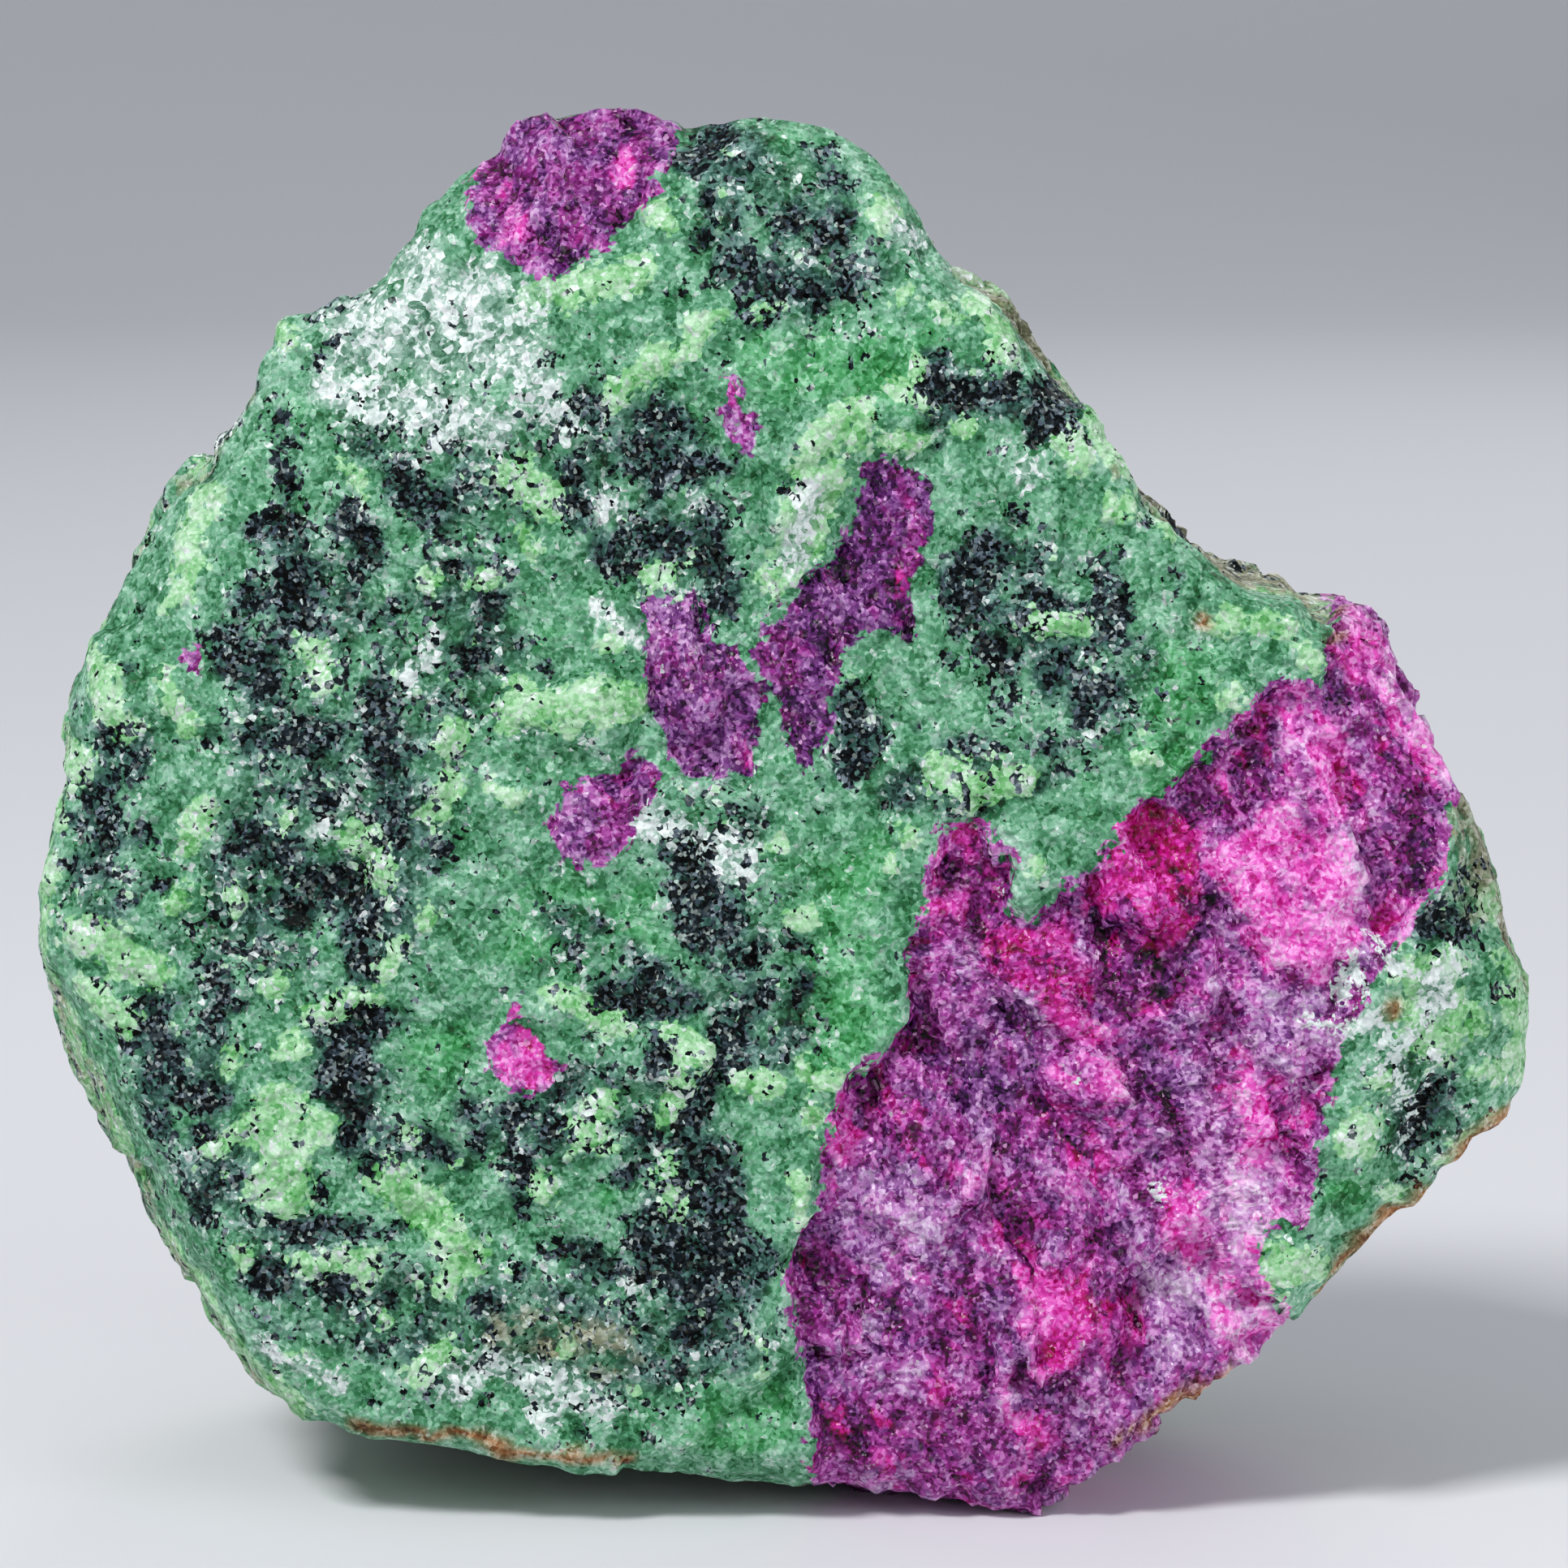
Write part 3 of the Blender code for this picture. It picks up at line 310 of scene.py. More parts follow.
# Facets of the rubies: warmth from -1, violet, to 1, hot crimson, lightness from about
# -1 to 1.5, and the outline (x, z). Each is laid over the ones before it.
# The lightness is partly painted light and shade: facets that face the light are lighter, and those
# shaded by a block, such as the one below the high facet, darker.
RUBY_FACETS = (
    (1, -0.7, HIGH_FACET),
    (0.8, -0.9, INNER_FACET),
    (0.7, 0.2, ((18, 34.5), (21, 35), (23, 31), (20.5, 28.5), (18, 31))),
    (0, -1, ((20.8, 42), (22.5, 41), (25, 38), (28, 37), (24.5, 34), (21, 35))),
    (1.2, 1.2, ((29, 46), (33.5, 50), (37.5, 47), (39.5, 42.5), (39, 39.5), (36, 37), (32, 39),
     (29.5, 43))),
    (0.6, 0.9, ((33, 57), (36, 56.5), (38.5, 50), (37, 47.5), (33.5, 51))),
    (0.1, -0.6, ((28.5, 52.5), (32.5, 56.5), (33.5, 51), (29, 47.5), (24.5, 49))),
    (0.1, -0.8, ((40, 53), (43.5, 51), (44.2, 46.5), (43, 42.5), (41, 43.5), (40.2, 48))),
    (0.8, 1.1, ((37, 62.5), (42.5, 59.5), (46, 50), (44.5, 49.5), (41, 56), (38, 58.5))),
    (0.8, 1.1, ((40, 43.5), (43.5, 43), (42, 40), (39, 40))),
    (0.3, -0.6, ((9.5, 39.5), (11, 48), (13, 48.5), (15, 44), (13, 40))),
    (0.4, -0.6, ((5, 32), (9, 34.5), (9.5, 31), (9.8, 25.5), (8.5, 27), (6.5, 29))),
    (0.8, 0.3, ((3.2, 28.5), (4.8, 30), (5.5, 27), (4.5, 24), (3, 25.5))),
    (0.2, -0.4, ((19.5, 30), (24, 29.5), (24.5, 25.5), (20.5, 23.5), (18, 26))),
    (0.2, -0.9, ((12.8, 23), (15, 24), (17.5, 21), (15.5, 19), (13.5, 20))),
    (1, 0.1, LOW_FACET),
    (-0.4, -0.7, ((13.8, 18), (15.2, 18), (15.8, 12.5), (14.4, 12))),
    (0.5, -1, ((20.8, 15.5), (24, 16), (24.8, 11.5), (22, 10))),
    (0.4, -0.6, ((10, 16), (13, 15.5), (13, 12.5), (10.5, 11.5))),
    (1, 1, ((24.8, 23.5), (27, 23.5), (29.2, 20), (28, 17.8), (25.5, 18.5))),
    (0.1, 1.4, ((27.8, 25), (34.5, 25.5), (36, 20), (33.5, 14.5), (29, 14.5))),
    (1, 1, ((29.8, 31.5), (31.3, 32), (33, 27.5), (32.6, 24), (31.2, 24.5))),
    (0.4, 0.9, ((33, 31.5), (36.5, 30.5), (35, 25.5), (33.2, 26))),
    (0.3, -0.8, ((3, 9), (5, 9), (9.5, 5.5), (8, 3.5), (4, 4.5))),
    (0.9, 0.1, ((15.5, 8), (18.5, 7.5), (19.5, 4.5), (16.5, 4.5))),
    (0.6, 1.5, ((29.5, 20), (32.5, 20), (35, 14), (31, 10.5), (28.5, 14))),
    (0.3, -0.5, ((9, 3.5), (16, 4), (17, 1.5), (12, 0.5))),
    (0.1, -0.4, ((0.8, 20), (3, 21), (4, 14), (1.5, 12))),
    (-0.6, 0.6, ((23, 19), (28, 17.5), (29, 12), (25, 9), (24.5, 15))),
    (-0.6, 0.3, ((4, 24), (9.5, 24.5), (12, 19), (6, 16), (3, 19))),
    (-0.8, 0.4, ((31, 37), (36.5, 37), (37.5, 32.5), (33.5, 31.5), (31, 33.5))),
    (-0.5, 0.1, ((24, 34), (29, 35.5), (29, 27), (26, 26), (24, 29))),
    (-0.4, -0.1, ((11, 36), (16, 36), (17.5, 32), (15.5, 26), (11, 28))),
    (-0.3, -1, ((-21.5, 87), (-19, 95.5), (-8.5, 97), (-7.5, 92), (-10, 89), (-15.5, 84))),
    (-0.8, -1.1, ((0, 73), (10.8, 73), (10.5, 50), (0, 47))),
    (-0.7, -0.3, ((-10, 63.5), (-10, 52), (-1.5, 47), (-0.5, 62))),
    (-0.4, -0.1, ((-17, 53), (-6.8, 53), (-8.5, 44.5), (-17, 44.5))),
    (1, 0.5, ((-19.5, 33), (-17.5, 34), (-15.8, 31.5), (-16, 30), (-18.8, 30.2))),
    (0.9, 0.8, ((-12, 92.5), (-10, 92.5), (-9.5, 90.5), (-11.5, 90))),
    (0.9, 0.6, ((-19.3, 88.3), (-17.5, 88), (-18, 86), (-19, 86))),
    (0.6, 0.6, ((-20.2, 90), (-18.6, 90.2), (-18.8, 88.8), (-20, 88.6))),
    (0, -0.6, ((-16, 93.5), (-13, 94), (-12, 90.5), (-15, 88), (-17, 90))),
    (0.2, -0.6, ((7.5, 70), (9.5, 69), (9.5, 63.5), (8, 62.5))),
    (0.1, -0.6, ((-4, 61), (1, 60.5), (0.5, 57.5), (-3.5, 58))),
    (1, 0.8, ((-3.6, 52.6), (-2.4, 52.6), (-2.4, 51), (-3.4, 51))),
    (0.5, 0.6, ((-4.4, 77.6), (-3.2, 77.4), (-2.6, 74.6), (-3.8, 75))),
)
LILAC_RUBY = (
    (31, 21, 2.6), (8, 22, 1.5), (28.3, 29, 29.3, 23, 1.3), (29, 42, 30.5, 44.5, 1.2),
    (31, 33, 1.8), (36, 33.5, 1.6), (33, 14.5, 28.5, 15.5, 2), (8.3, 10.5, 1.2), (15.2, 8.3, 1),
    (22.5, 31.3, 1.1), (36.8, 46.5, 1), (39.3, 49, 0.8), (18.5, 34, 15.5, 36.3, 0.6),
    (12.9, 24.3, 0.5), (24, 21.3, 0.7), (28.9, 18.8, 0.5), (26, 16, 3),
)
# Light edges and dark cracks that run between the facets of the rubies: the light edges are partly
# painted highlight where edges face the light, and the dark cracks are painted shadow.
PAINTED_LIT_EDGES = (
    (13.1, 39.1, 13.9, 36.3, 0.3), (13.9, 36.3, 16.6, 34.1, 0.35), (16.6, 34.1, 18.7, 31.3, 0.3),
    (19.8, 39.7, 20.7, 35.2, 0.25), (37.8, 47.5, 38.9, 44.1, 0.4), (38.9, 44.1, 37.8, 41.9, 0.4),
    (31, 37.4, 33.3, 34.6, 0.5), (22.9, 20.1, 24.3, 17.3, 0.35), (24.3, 17.3, 26.6, 16.2, 0.35),
    (31.6, 31.3, 29.9, 28.5, 0.4), (29.9, 28.5, 31.6, 22.9, 0.35), (13.1, 22.9, 13.7, 21.2, 0.3),
    (27.5, 49.5, 30, 52.5, 0.3), (33, 45.5, 35.5, 41, 0.4), (41, 57.5, 43.5, 53, 0.3),
    (9, 21.5, 11.5, 18, 0.3), (5, 12, 7.5, 9, 0.3), (17, 25, 19, 22, 0.3), (20, 9, 22, 6, 0.3),
    (29.5, 12.5, 32.5, 9.5, 0.4),
)
PAINTED_CRACK_SHADOWS = (
    (21.2, 40.8, 24.3, 38, 0.3), (24.3, 38, 26.6, 39.1, 0.3), (26.6, 39.1, 28.8, 43, 0.25),
    (6.1, 30.2, 7.5, 27.4, 0.35), (7.5, 27.4, 9.6, 24.7, 0.3), (19.3, 34.1, 20.4, 32.4, 0.3),
    (24.3, 22.9, 22.1, 20.7, 0.3), (22.1, 20.7, 20.4, 19.6, 0.3), (31.6, 17.3, 33.3, 20.1, 0.3),
    (33.3, 20.1, 35.5, 21.2, 0.3), (12, 19.6, 13.1, 16.2, 0.3), (13.1, 16.2, 13.7, 13.5, 0.3),
    (36.5, 52.5, 39, 49, 0.25), (38.5, 57, 41, 53.5, 0.25), (17.5, 29, 20, 25.5, 0.25),
    (5, 17, 8, 13.5, 0.25), (24.5, 31, 26.5, 27.5, 0.25), (26, 45.5, 28, 46.5, 0.25),
    (32, 34, 34, 30, 0.25), (2, 8.5, 5.5, 5, 0.35), (18, 12.5, 20, 9.5, 0.25),
    (9.5, 33.5, 12.5, 29, 0.25), (10, 10.5, 12.5, 7, 0.25), (14, 30.5, 16, 27.5, 0.25),
)
# White veins, in ruby and rock alike.
WHITE_VEINS = (
    (35.3, 35, 37.4, 34.2, 0.35), (37.4, 34.2, 39.4, 35.1, 0.55), (39.4, 35.1, 41.1, 33.6, 0.6),
    (40.6, 33.8, 40.2, 31.3, 0.4), (42.4, 33.9, 41.9, 31.6, 0.45), (41.9, 31.6, 41, 28.8, 0.4),
    (43.5, 30, 42, 25.5, 0.25), (39.8, 40.2, 41, 38.6, 0.4), (41, 38.6, 42.6, 38, 0.5),
    (38, 37.6, 37.3, 36.4, 0.35), (25, 23.6, 25.6, 22.6, 0.4), (37.6, 39.5, 38.6, 37, 0.25),
    (44.5, 38.8, 45.5, 37, 0.4),
)
LUSH_ZOISITE = (
    (-1, 78.3, 9.6, 78.3, 2.7), (14, 79.5, 1.2), (3, 33.5, 4.5, 43, 4), (-17, 40.5, -10, 40.5, 3),
    (26, 51.5, 26, 59, 3), (30.8, 61.8, 1), (-23, 32.5, 3), (38.4, 22.5, 2), (-4, 7, -1, 7, 2.4),
    (-12.4, 22.1, 1.5),
)
# Broad places where zoisite and hornblende are mixed grain by grain.
SALT_AND_PEPPER = (
    (-36, 40, -31, 65, 6.2), (-27, 42, -24, 61, 5), (-45, 54, -46, 42, 3), (-5, 47, -2, 35, 5.5),
    (-13, 74, -6, 63, 5.5), (-4, 92, 3, 84, 5), (-18, 14, -8, 12, 6), (-33, 17, -24, 14, 5.5),
    (-8, 26, -4, 14, 5.5), (15, 64, 22, 57, 5), (-18, 27, -8, 30, 4.5), (-41, 33, -38, 22, 4.5),
    (42.5, 31, 44, 26, 3.5), (44, 42, 2.5), (-27, 74, -18, 70, 3.5), (5, 54, 4),
    (-22, 68, -19, 58, 3.5), (11, 77, 19, 75, 3), (-30, 34, -26, 26, 3.5), (8, 50, 20, 53, 3),
    (-14, 40, -8, 36, 3.5),
)
WEATHERED = (
    (45.9, 48.5, 47.4, 42, 2.3), (45.3, 43, 1.6), (48.6, 41, 48.9, 36.5, 0.6),
    (-18, 14, -12, 12.5, 3), (22.5, 71.2, 0.7),
)
RUST = (
    (27.6, 61.8, 0.3), (37, 60.7, 0.4), (40.7, 35.5, 0.4), (-29.6, 6.5, -20.5, 5.8, 0.2),
    (-20.7, 6.1, -18.5, 5.4, 0.5), (-18.5, 5.4, -10, 4.5, 0.2), (22, 5.2, 26, 7.7, 0.2),
    (26, 7.7, 29.6, 10, 0.3), (36.6, 15.3, 41.4, 20.3, 0.3), (41.4, 20.3, 45.5, 24.3, 0.2),
    (45.6, 24.6, 49, 27.3, 0.5),
)
SPOT_CORE = 0.3                  # share of a spot's or run's radius that is full
SPOT_FADES = (1.35, 0.35)        # it is gone at this many radii and this much more
FACET_BORDER = (-0.3, 0.35)      # distances into a facet over which its shades begin
LIT_EDGE_GAIN = 1.2                 # painted highlight: lightness that a light edge adds
CRACK_SHADOW_GAIN = 1.3                 # and painted shadow: what a dark crack takes away
CHIP_SHADES = 0.5                # how much the chips differ in shade, beside the facets
CHIP_SHADE_STEEP = 1.6           # over 1, more chips are as light or dark as they get
CHIP_SEEDS = {"ruby_warmth": 300, "ruby_light": 0}   # added to the splinters' seeds
RUBY_BORDER = 0.3                # the ruby's relief begins over this far each way
RUBY_DEEPEST = 6.0               # depth into a ruby, past which it makes no difference

SKIN = (0.04, 0.24)              # shares of the depth over which the front's pattern ends
# Ragged edges: size of the noise, shift on the front, shift elsewhere, random seed.
EDGE_WARP = ((9.0, 0.0, 4.0, 91), (3.2, 0.75, 1.8, 101), (1.2, 0.45, 0.6, 111))
WALL_BEGINS = (0.03, 0.12)       # shares of the depth over which the wall's layers begin
WALL_ENDS = (0.86, 0.97)         # and over which they end

# Elsewhere the minerals are clouds: size, random seed, and the noise between which they
# thicken. A cloud's second noise is this share of the first in strength and in size.
CLOUD_DETAIL = (0.5, 0.4)
EVEN = (1.0, 1.0, 1.0)           # clouds as thick from front to back as across
LAYERED = (1.0, 3.0, 1.0)        # clouds thinner from front to back, as the rock is layered
MIXED_ROCK = (13.0, 141, -0.5, 0.4)   # where hornblende is mixed in
MARKS = {                        # what is drawn in front, and the cloud elsewhere
    "lilac": (LILAC_RUBY, EVEN, 7.0, 161, 0.2, 0.9),
    "hornblende": (HORNBLENDE, LAYERED, 4.2, 171, 0.0, 0.5),
    "pale": (PALE_ZOISITE, LAYERED, 6.0, 181, 0.2, 0.55),
    "lush": (LUSH_ZOISITE, LAYERED, 11.0, 191, 0.1, 0.7),
    "frost": (FROST, LAYERED, 9.0, 201, 0.3, 0.9),
    "weathered": (WEATHERED, EVEN, 16.0, 211, 0.1, 0.9),
    "rust": (RUST, EVEN, 9.0, 221, 0.85, 1.25),
}
RUST_ELSEWHERE = 0.8             # its strength there
# Shades of the rubies elsewhere: gain, offset and cloud.
FAR_SHADES = {
    "ruby_warmth": (1.0, -0.3, 7.0, 231, -0.4, 0.5),
    "ruby_light": (1.4, -0.6, 5.0, 241, -0.5, 0.5),
}

# -------------------- The material's patterns, in millimetres, and the stage.

# What each point of the surface tells the material.
AMOUNTS = ("ruby", "ruby_warmth", "ruby_light", "lilac", "hornblende", "pepper", "pale", "lush",
           "frost", "weathered", "rust", "vein", "hollow", "wall")
SWAY_WIDTH = 1.6                 # width of the noise that bends the grains
SWAY = 0.3                       # and how far it does
MOTTLE_WIDTH = 3.4               # broad lighter, darker and lusher places
CRUMB_WIDTH = 1.1                # crumbs of several grains, in the relief
CLUSTER_WIDTH = 1.6              # clusters of grains of a kind
LAYER_SCALE = (0.17, 0.8, 0.17)  # the rock's layers: they are thin from front to back
STREAK_WIDTH = 1.6               # streaks in the ruby
SPLINTER_CHIP = 0.9              # width of the ruby's smallest chips
SPLINTER_STRETCH = 1.8           # the ruby's streaks and chips are this much longer than wide
WARMTH_MIDDLE = 0.5              # the middle of the rubies' warmth, from 0 to 1
LIGHT_MIDDLE = 0.64              # and of their lightness
HOLLOW_PAINTED_SHADE = -0.25              # painted shade: what a deep hollow adds to the lightness
ROCK_GLOSS = 0.20                # specular level: low, for the stone is broken, not polished
HORNBLENDE_GLOSS = 0.08          # and lower where black grains would look grey
CHIP_RELIEF = 1.6                # relief of the ruby's chips, where that of the grains is 1
CRUMB_RELIEF = 1.7               # and of the crumbs
CARD_ROUGHNESS = 0.85            # matt card

CAMERA_TARGET = (0.0, -0.017, 0.0502)   # the middle of the picture, in metres
SENSOR_WIDTH = 36.0              # of the camera, in its own millimetres
FLOOR_BEND = 5.0                 # the floor is this many radii of its bend wide
FLOOR_STEPS = 24                 # lines of points across the bend
# Lights: name, place and width in metres, and the setting that holds the power.
LIGHTS = (
    ("key_light", (-0.44, -0.42, 0.76), 0.22, "key_power"),
    ("fill_light", (0.62, -0.45, 0.22), 0.45, "fill_power"),
    ("back_light", (0.25, 0.70, 0.55), 0.45, "back_power"),
)

# -------------------- Noise and distances, for whole arrays of points in millimetres.


def chance(cell, seed):
    """Random numbers from 0 to 1 that belong to lattice cells.

    A cell's three whole numbers are multiplied by large primes, mixed and scrambled.
    """
    cell = cell.astype(np.int64)
    mixed = cell[:, 0] * 73856093 ^ cell[:, 1] * 19349663 ^ cell[:, 2] * 83492791
    mixed = (mixed ^ seed * 374761393) & 0xFFFFFFFF
    mixed = (mixed ^ mixed >> 15) * 2246822519 & 0xFFFFFFFF
    mixed = (mixed ^ mixed >> 13) * 3266489917 & 0xFFFFFFFF
    return (mixed ^ mixed >> 16) % 65536 / 65535.0


def soft_noise(points, size, seed):
    """Smooth noise from -1 to 1: lattice corners' random values, blended smoothly."""
    scaled = points / size
    corner = np.floor(scaled)
    part = scaled - corner
    part = part * part * (3.0 - 2.0 * part)
    total = np.zeros(len(points))
    for step in np.ndindex(2, 2, 2):
        weight = np.prod(np.where(step, part, 1.0 - part), axis=1)
        total += weight * chance(corner + step, seed)
    return total * 2.0 - 1.0


def flat_chips(points, size, seed):
    """Chipped relief, about -1 to 1: each point lies on its nearest seed's tilted plane."""
    scaled = points / size
    home = np.floor(scaled)
    nearest = np.full(len(points), np.inf)
    height = np.zeros(len(points))
    for step in np.ndindex(3, 3, 3):
        cell = home + np.array(step) - 1
        spot = np.stack([chance(cell, seed + axis) for axis in range(3)], axis=1)
        away = scaled - cell - spot
        distance = np.sum(away * away, axis=1)
        tilt = np.stack([chance(cell, seed + axis) for axis in range(3, 6)], axis=1) - 0.5
        plane = 2.0 * np.sum(tilt * away, axis=1) + chance(cell, seed + 6) - 0.5
        closer = distance < nearest
        nearest = np.where(closer, distance, nearest)
        height = np.where(closer, plane, height)
    return height


def blend(value, low, high):
    """Smooth step from 0 at low to 1 at high."""
    share = np.clip((value - low) / (high - low), 0.0, 1.0)
    return share * share * (3.0 - 2.0 * share)


def reach_of(outline, angle):
    """Distance from the heart to an outline, along rays at the given angles.

    Each ray meets the straight run between the two corners whose angles are either
    side of its own, and the meeting point comes from the cross products.
    """
    corners = np.array(outline) - HEART
    turn = np.arctan2(corners[:, 1], corners[:, 0]) % (2.0 * np.pi)
    order = np.argsort(turn)
    corners, turn = corners[order], turn[order]
    after = np.searchsorted(turn, angle % (2.0 * np.pi)) % len(turn)
    start, run = corners[after - 1], corners[after] - corners[after - 1]
    across = start[:, 0] * run[:, 1] - start[:, 1] * run[:, 0]
    return across / (np.cos(angle) * run[:, 1] - np.sin(angle) * run[:, 0])


def run_distance(x, z, start, end):
    """Distance to the straight run between two points: to the nearest place along it."""
    run_x, run_z = end[0] - start[0], end[1] - start[1]
    along = ((x - start[0]) * run_x + (z - start[1]) * run_z) / max(run_x ** 2 + run_z ** 2, 1e-9)
    along = np.clip(along, 0.0, 1.0)
    return np.hypot(x - start[0] - along * run_x, z - start[1] - along * run_z)


def inside_distance(x, z, outline):
    """Distance to a closed outline: positive inside it and negative outside."""
    nearest = np.full(len(x), np.inf)
    inside = np.zeros(len(x), dtype=bool)
    for (ax, az), (bx, bz) in zip(outline, outline[1:] + outline[:1]):
        nearest = np.minimum(nearest, run_distance(x, z, (ax, az), (bx, bz)))
        if az != bz:
            crossing = ax + (z - az) * (bx - ax) / (bz - az)
            inside ^= ((az > z) != (bz > z)) & (x < crossing)
    return np.where(inside, nearest, -nearest)


# -------------------- The stone's form.


def creased(x, z, creases):
    """How far the facets past the crease lines fall away: slope times a soft ramp."""
    fall = np.zeros(len(x))
    for (ax, az), (bx, bz), slope in creases:
        past = ((bx - ax) * (z - az) - (bz - az) * (x - ax)) / np.hypot(bx - ax, bz - az)
        fall += slope * 0.5 * (past + np.sqrt(past ** 2 + CREASE_ROUND ** 2))
    return fall


def blocked(x, z, blocks):
    """Height of the blocks: the lower of a tilted top and the steep sides."""
    height = np.zeros(len(x))
    for full, (low_x, low_z), (high_x, high_z), outline in blocks:
        run_x, run_z = high_x - low_x, high_z - low_z
        share = ((x - low_x) * run_x + (z - low_z) * run_z) / (run_x ** 2 + run_z ** 2)
        top = abs(full) * np.clip(share, *BLOCK_TOP)
        side = BLOCK_STEEP * np.clip(inside_distance(x, z, outline), 0.0, None)
        height += np.sign(full) * np.minimum(top, side)
    return height


def swayed(x, z, sways):
    """The places moved sideways by noise, so that lines drawn at them turn ragged."""
    spot = np.stack([x, np.zeros(len(x)), z], axis=1)
    for far, size, seed in sways:
        x = x + far * soft_noise(spot, size, seed)
        z = z + far * soft_noise(spot, size, seed + 1)
    return x, z


def front_face(x, z):
    """Y of the front face: the leaning plane, its facets, the sunken ruby and the blocks."""
    x, z = swayed(x, z, FRONT_SWAY)
    into_ruby = inside_distance(x, z, RUBY)
    inside, outside = np.clip(into_ruby, 0, None), np.clip(-into_ruby, 0, None)
    sunk = RUBY_SUNK * blend(into_ruby, *RUBY_STEP) * np.exp(-inside / RUBY_RISE)
    lip = RUBY_LIP * blend(-into_ruby, *LIP_STEP) * np.exp(-outside / LIP_FADES)
    return (FRONT_AT_FLOOR + FRONT_LEAN * z + creased(x, z, FRONT_CREASES)
            + sunk - lip - blocked(x, z, FRONT_BLOCKS))


def back_face(x, z):
    """Y of the back face: its own leaning plane, facets and blocks."""
    x, z = swayed(x, z, BACK_SWAY)
    return (BACK_AT_FLOOR + BACK_LEAN * z - creased(x, z, BACK_CREASES)
            + blocked(x, z, BACK_BLOCKS))


def above_foot(x, y, z):
    """Z, or the height of the rising underside where that is more."""
    (ax, ay), (bx, by) = FOOT_LINE
    off_floor = ((bx - ax) * (y - ay) - (by - ay) * (x - ax)) / np.hypot(bx - ax, by - ay)
    rise = np.where(off_floor > 0.0, off_floor, FOOT_DROP * off_floor)
    return np.maximum(z, FOOT_SLOPE * rise)


def on_the_rock(net):
    """Lay the cube's points, -1 to 1 each way, on the rock before it is chipped.

    Across a face, the larger of the two sideways places is the share of the way to the
    rim, and the other one turns it round the heart. Through the depth, the wall swells
    from the front edge to its widest and draws in again to the back edge.
    """
    across, depth, up = net[:, 0], net[:, 1], net[:, 2]
    share = np.maximum(np.abs(across), np.abs(up))
    sideways = np.abs(across) >= np.abs(up)
    longer, shorter = np.where(sideways, across, up), np.where(sideways, up, across)
    tilt = shorter / np.where(share > 0.0, longer, 1.0) * np.pi / 4.0
    angle = np.where(sideways, tilt + np.pi * (across < 0.0),
                     np.pi / 2 - tilt + np.pi * (up < 0.0)) % (2.0 * np.pi)

    front_rim = reach_of(FRONT_EDGE, angle)
    back_rim = reach_of(BACK_EDGE, angle)
    swell_angle, swell = np.array(WALL_SWELL).T
    widest = front_rim + np.interp(np.degrees(angle), swell_angle, swell)
    through = (depth + 1.0) / 2.0
    growing = np.sin(np.pi / 2 * np.clip(through / WIDEST_AT, 0.0, 1.0))
    past = np.clip((through - WIDEST_AT) / (1.0 - WIDEST_AT), 0.0, 1.0)
    drawing = 1.0 - np.cos(np.pi / 2 * past)
    radius = front_rim + (widest - front_rim) * growing + (back_rim - widest) * drawing

    over = blend(share, 1.0 - RIM_SHARE, 1.0)
    turned = RIM_ROUND * (1.0 - np.sqrt(1.0 - over ** 2 * RIM_TURN))
    cos, sin = np.cos(angle) * share, np.sin(angle) * share
    y_front = front_face(HEART[0] + front_rim * cos, HEART[1] + front_rim * sin) + turned
    y_back = back_face(HEART[0] + back_rim * cos, HEART[1] + back_rim * sin) - turned
    x, z = HEART[0] + radius * cos, HEART[1] + radius * sin
    y = y_front + (y_back - y_front) * through
    return np.stack([x, y, above_foot(x, y, z)], axis=1), through


def cube_net(across, through):
    """A closed cube from -1 to 1 as points and four-cornered faces.

    The front and back are square grids. The wall is rings of points round the grids'
    edges, and its first and last rings are the grids' own edge points.
    """
    side = across + 1
    place = np.linspace(-1.0, 1.0, side)
    grid_x, grid_z = np.meshgrid(place, place)
    number = np.arange(side * side).reshape(side, side)
    ring = np.concatenate([number[0, :-1], number[:-1, -1], number[-1, :0:-1], number[:0:-1, 0]])
    edge_x, edge_z = grid_x.ravel()[ring], grid_z.ravel()[ring]

    front = np.stack([grid_x.ravel(), np.full(side * side, -1.0), grid_z.ravel()], axis=1)
    back = front * (1.0, -1.0, 1.0)
    depth = np.repeat(np.linspace(-1.0, 1.0, through + 1)[1:-1], len(ring))
    wall = np.stack([np.tile(edge_x, through - 1), depth, np.tile(edge_z, through - 1)], axis=1)
    points = np.concatenate([front, back, wall])

    quads = np.stack([number[:-1, :-1], number[:-1, 1:], number[1:, 1:], number[1:, :-1]],
                     axis=-1).reshape(-1, 4)
    inner = 2 * side * side + np.arange((through - 1) * len(ring)).reshape(through - 1, -1)
    rings = np.vstack([ring, inner, ring + side * side])
    onward = np.roll(rings, -1, axis=1)
    wall_quads = np.stack([rings[:-1], rings[1:], onward[1:], onward[:-1]], axis=-1)
    back_quads = quads[:, ::-1] + side * side
    return points, np.concatenate([quads, back_quads, wall_quads.reshape(-1, 4)])


def normals_of(points, faces):
    """Unit normals at the points: the sum of the faces' crossed diagonals, made unit long."""
    corner = points[faces]
    facing = np.cross(corner[:, 2] - corner[:, 0], corner[:, 3] - corner[:, 1])
    total = np.zeros_like(points)
    for side in range(4):
        np.add.at(total, faces[:, side], facing)
    return total / np.maximum(np.linalg.norm(total, axis=1), 1e-9)[:, None]


def smoothed(values, faces, rounds):
    """Values at the points, each time moved halfway to the mean of their neighbours'."""
    start, end = faces.ravel(), np.roll(faces, -1, axis=1).ravel()
    count = np.bincount(start, minlength=len(values)).astype(float)
    for _ in range(rounds):
        total = np.stack([np.bincount(start, values[end, axis], len(values))
                          for axis in range(values.shape[1])], axis=1)
        values = 0.5 * values + 0.5 * total / count[:, None]
    return values


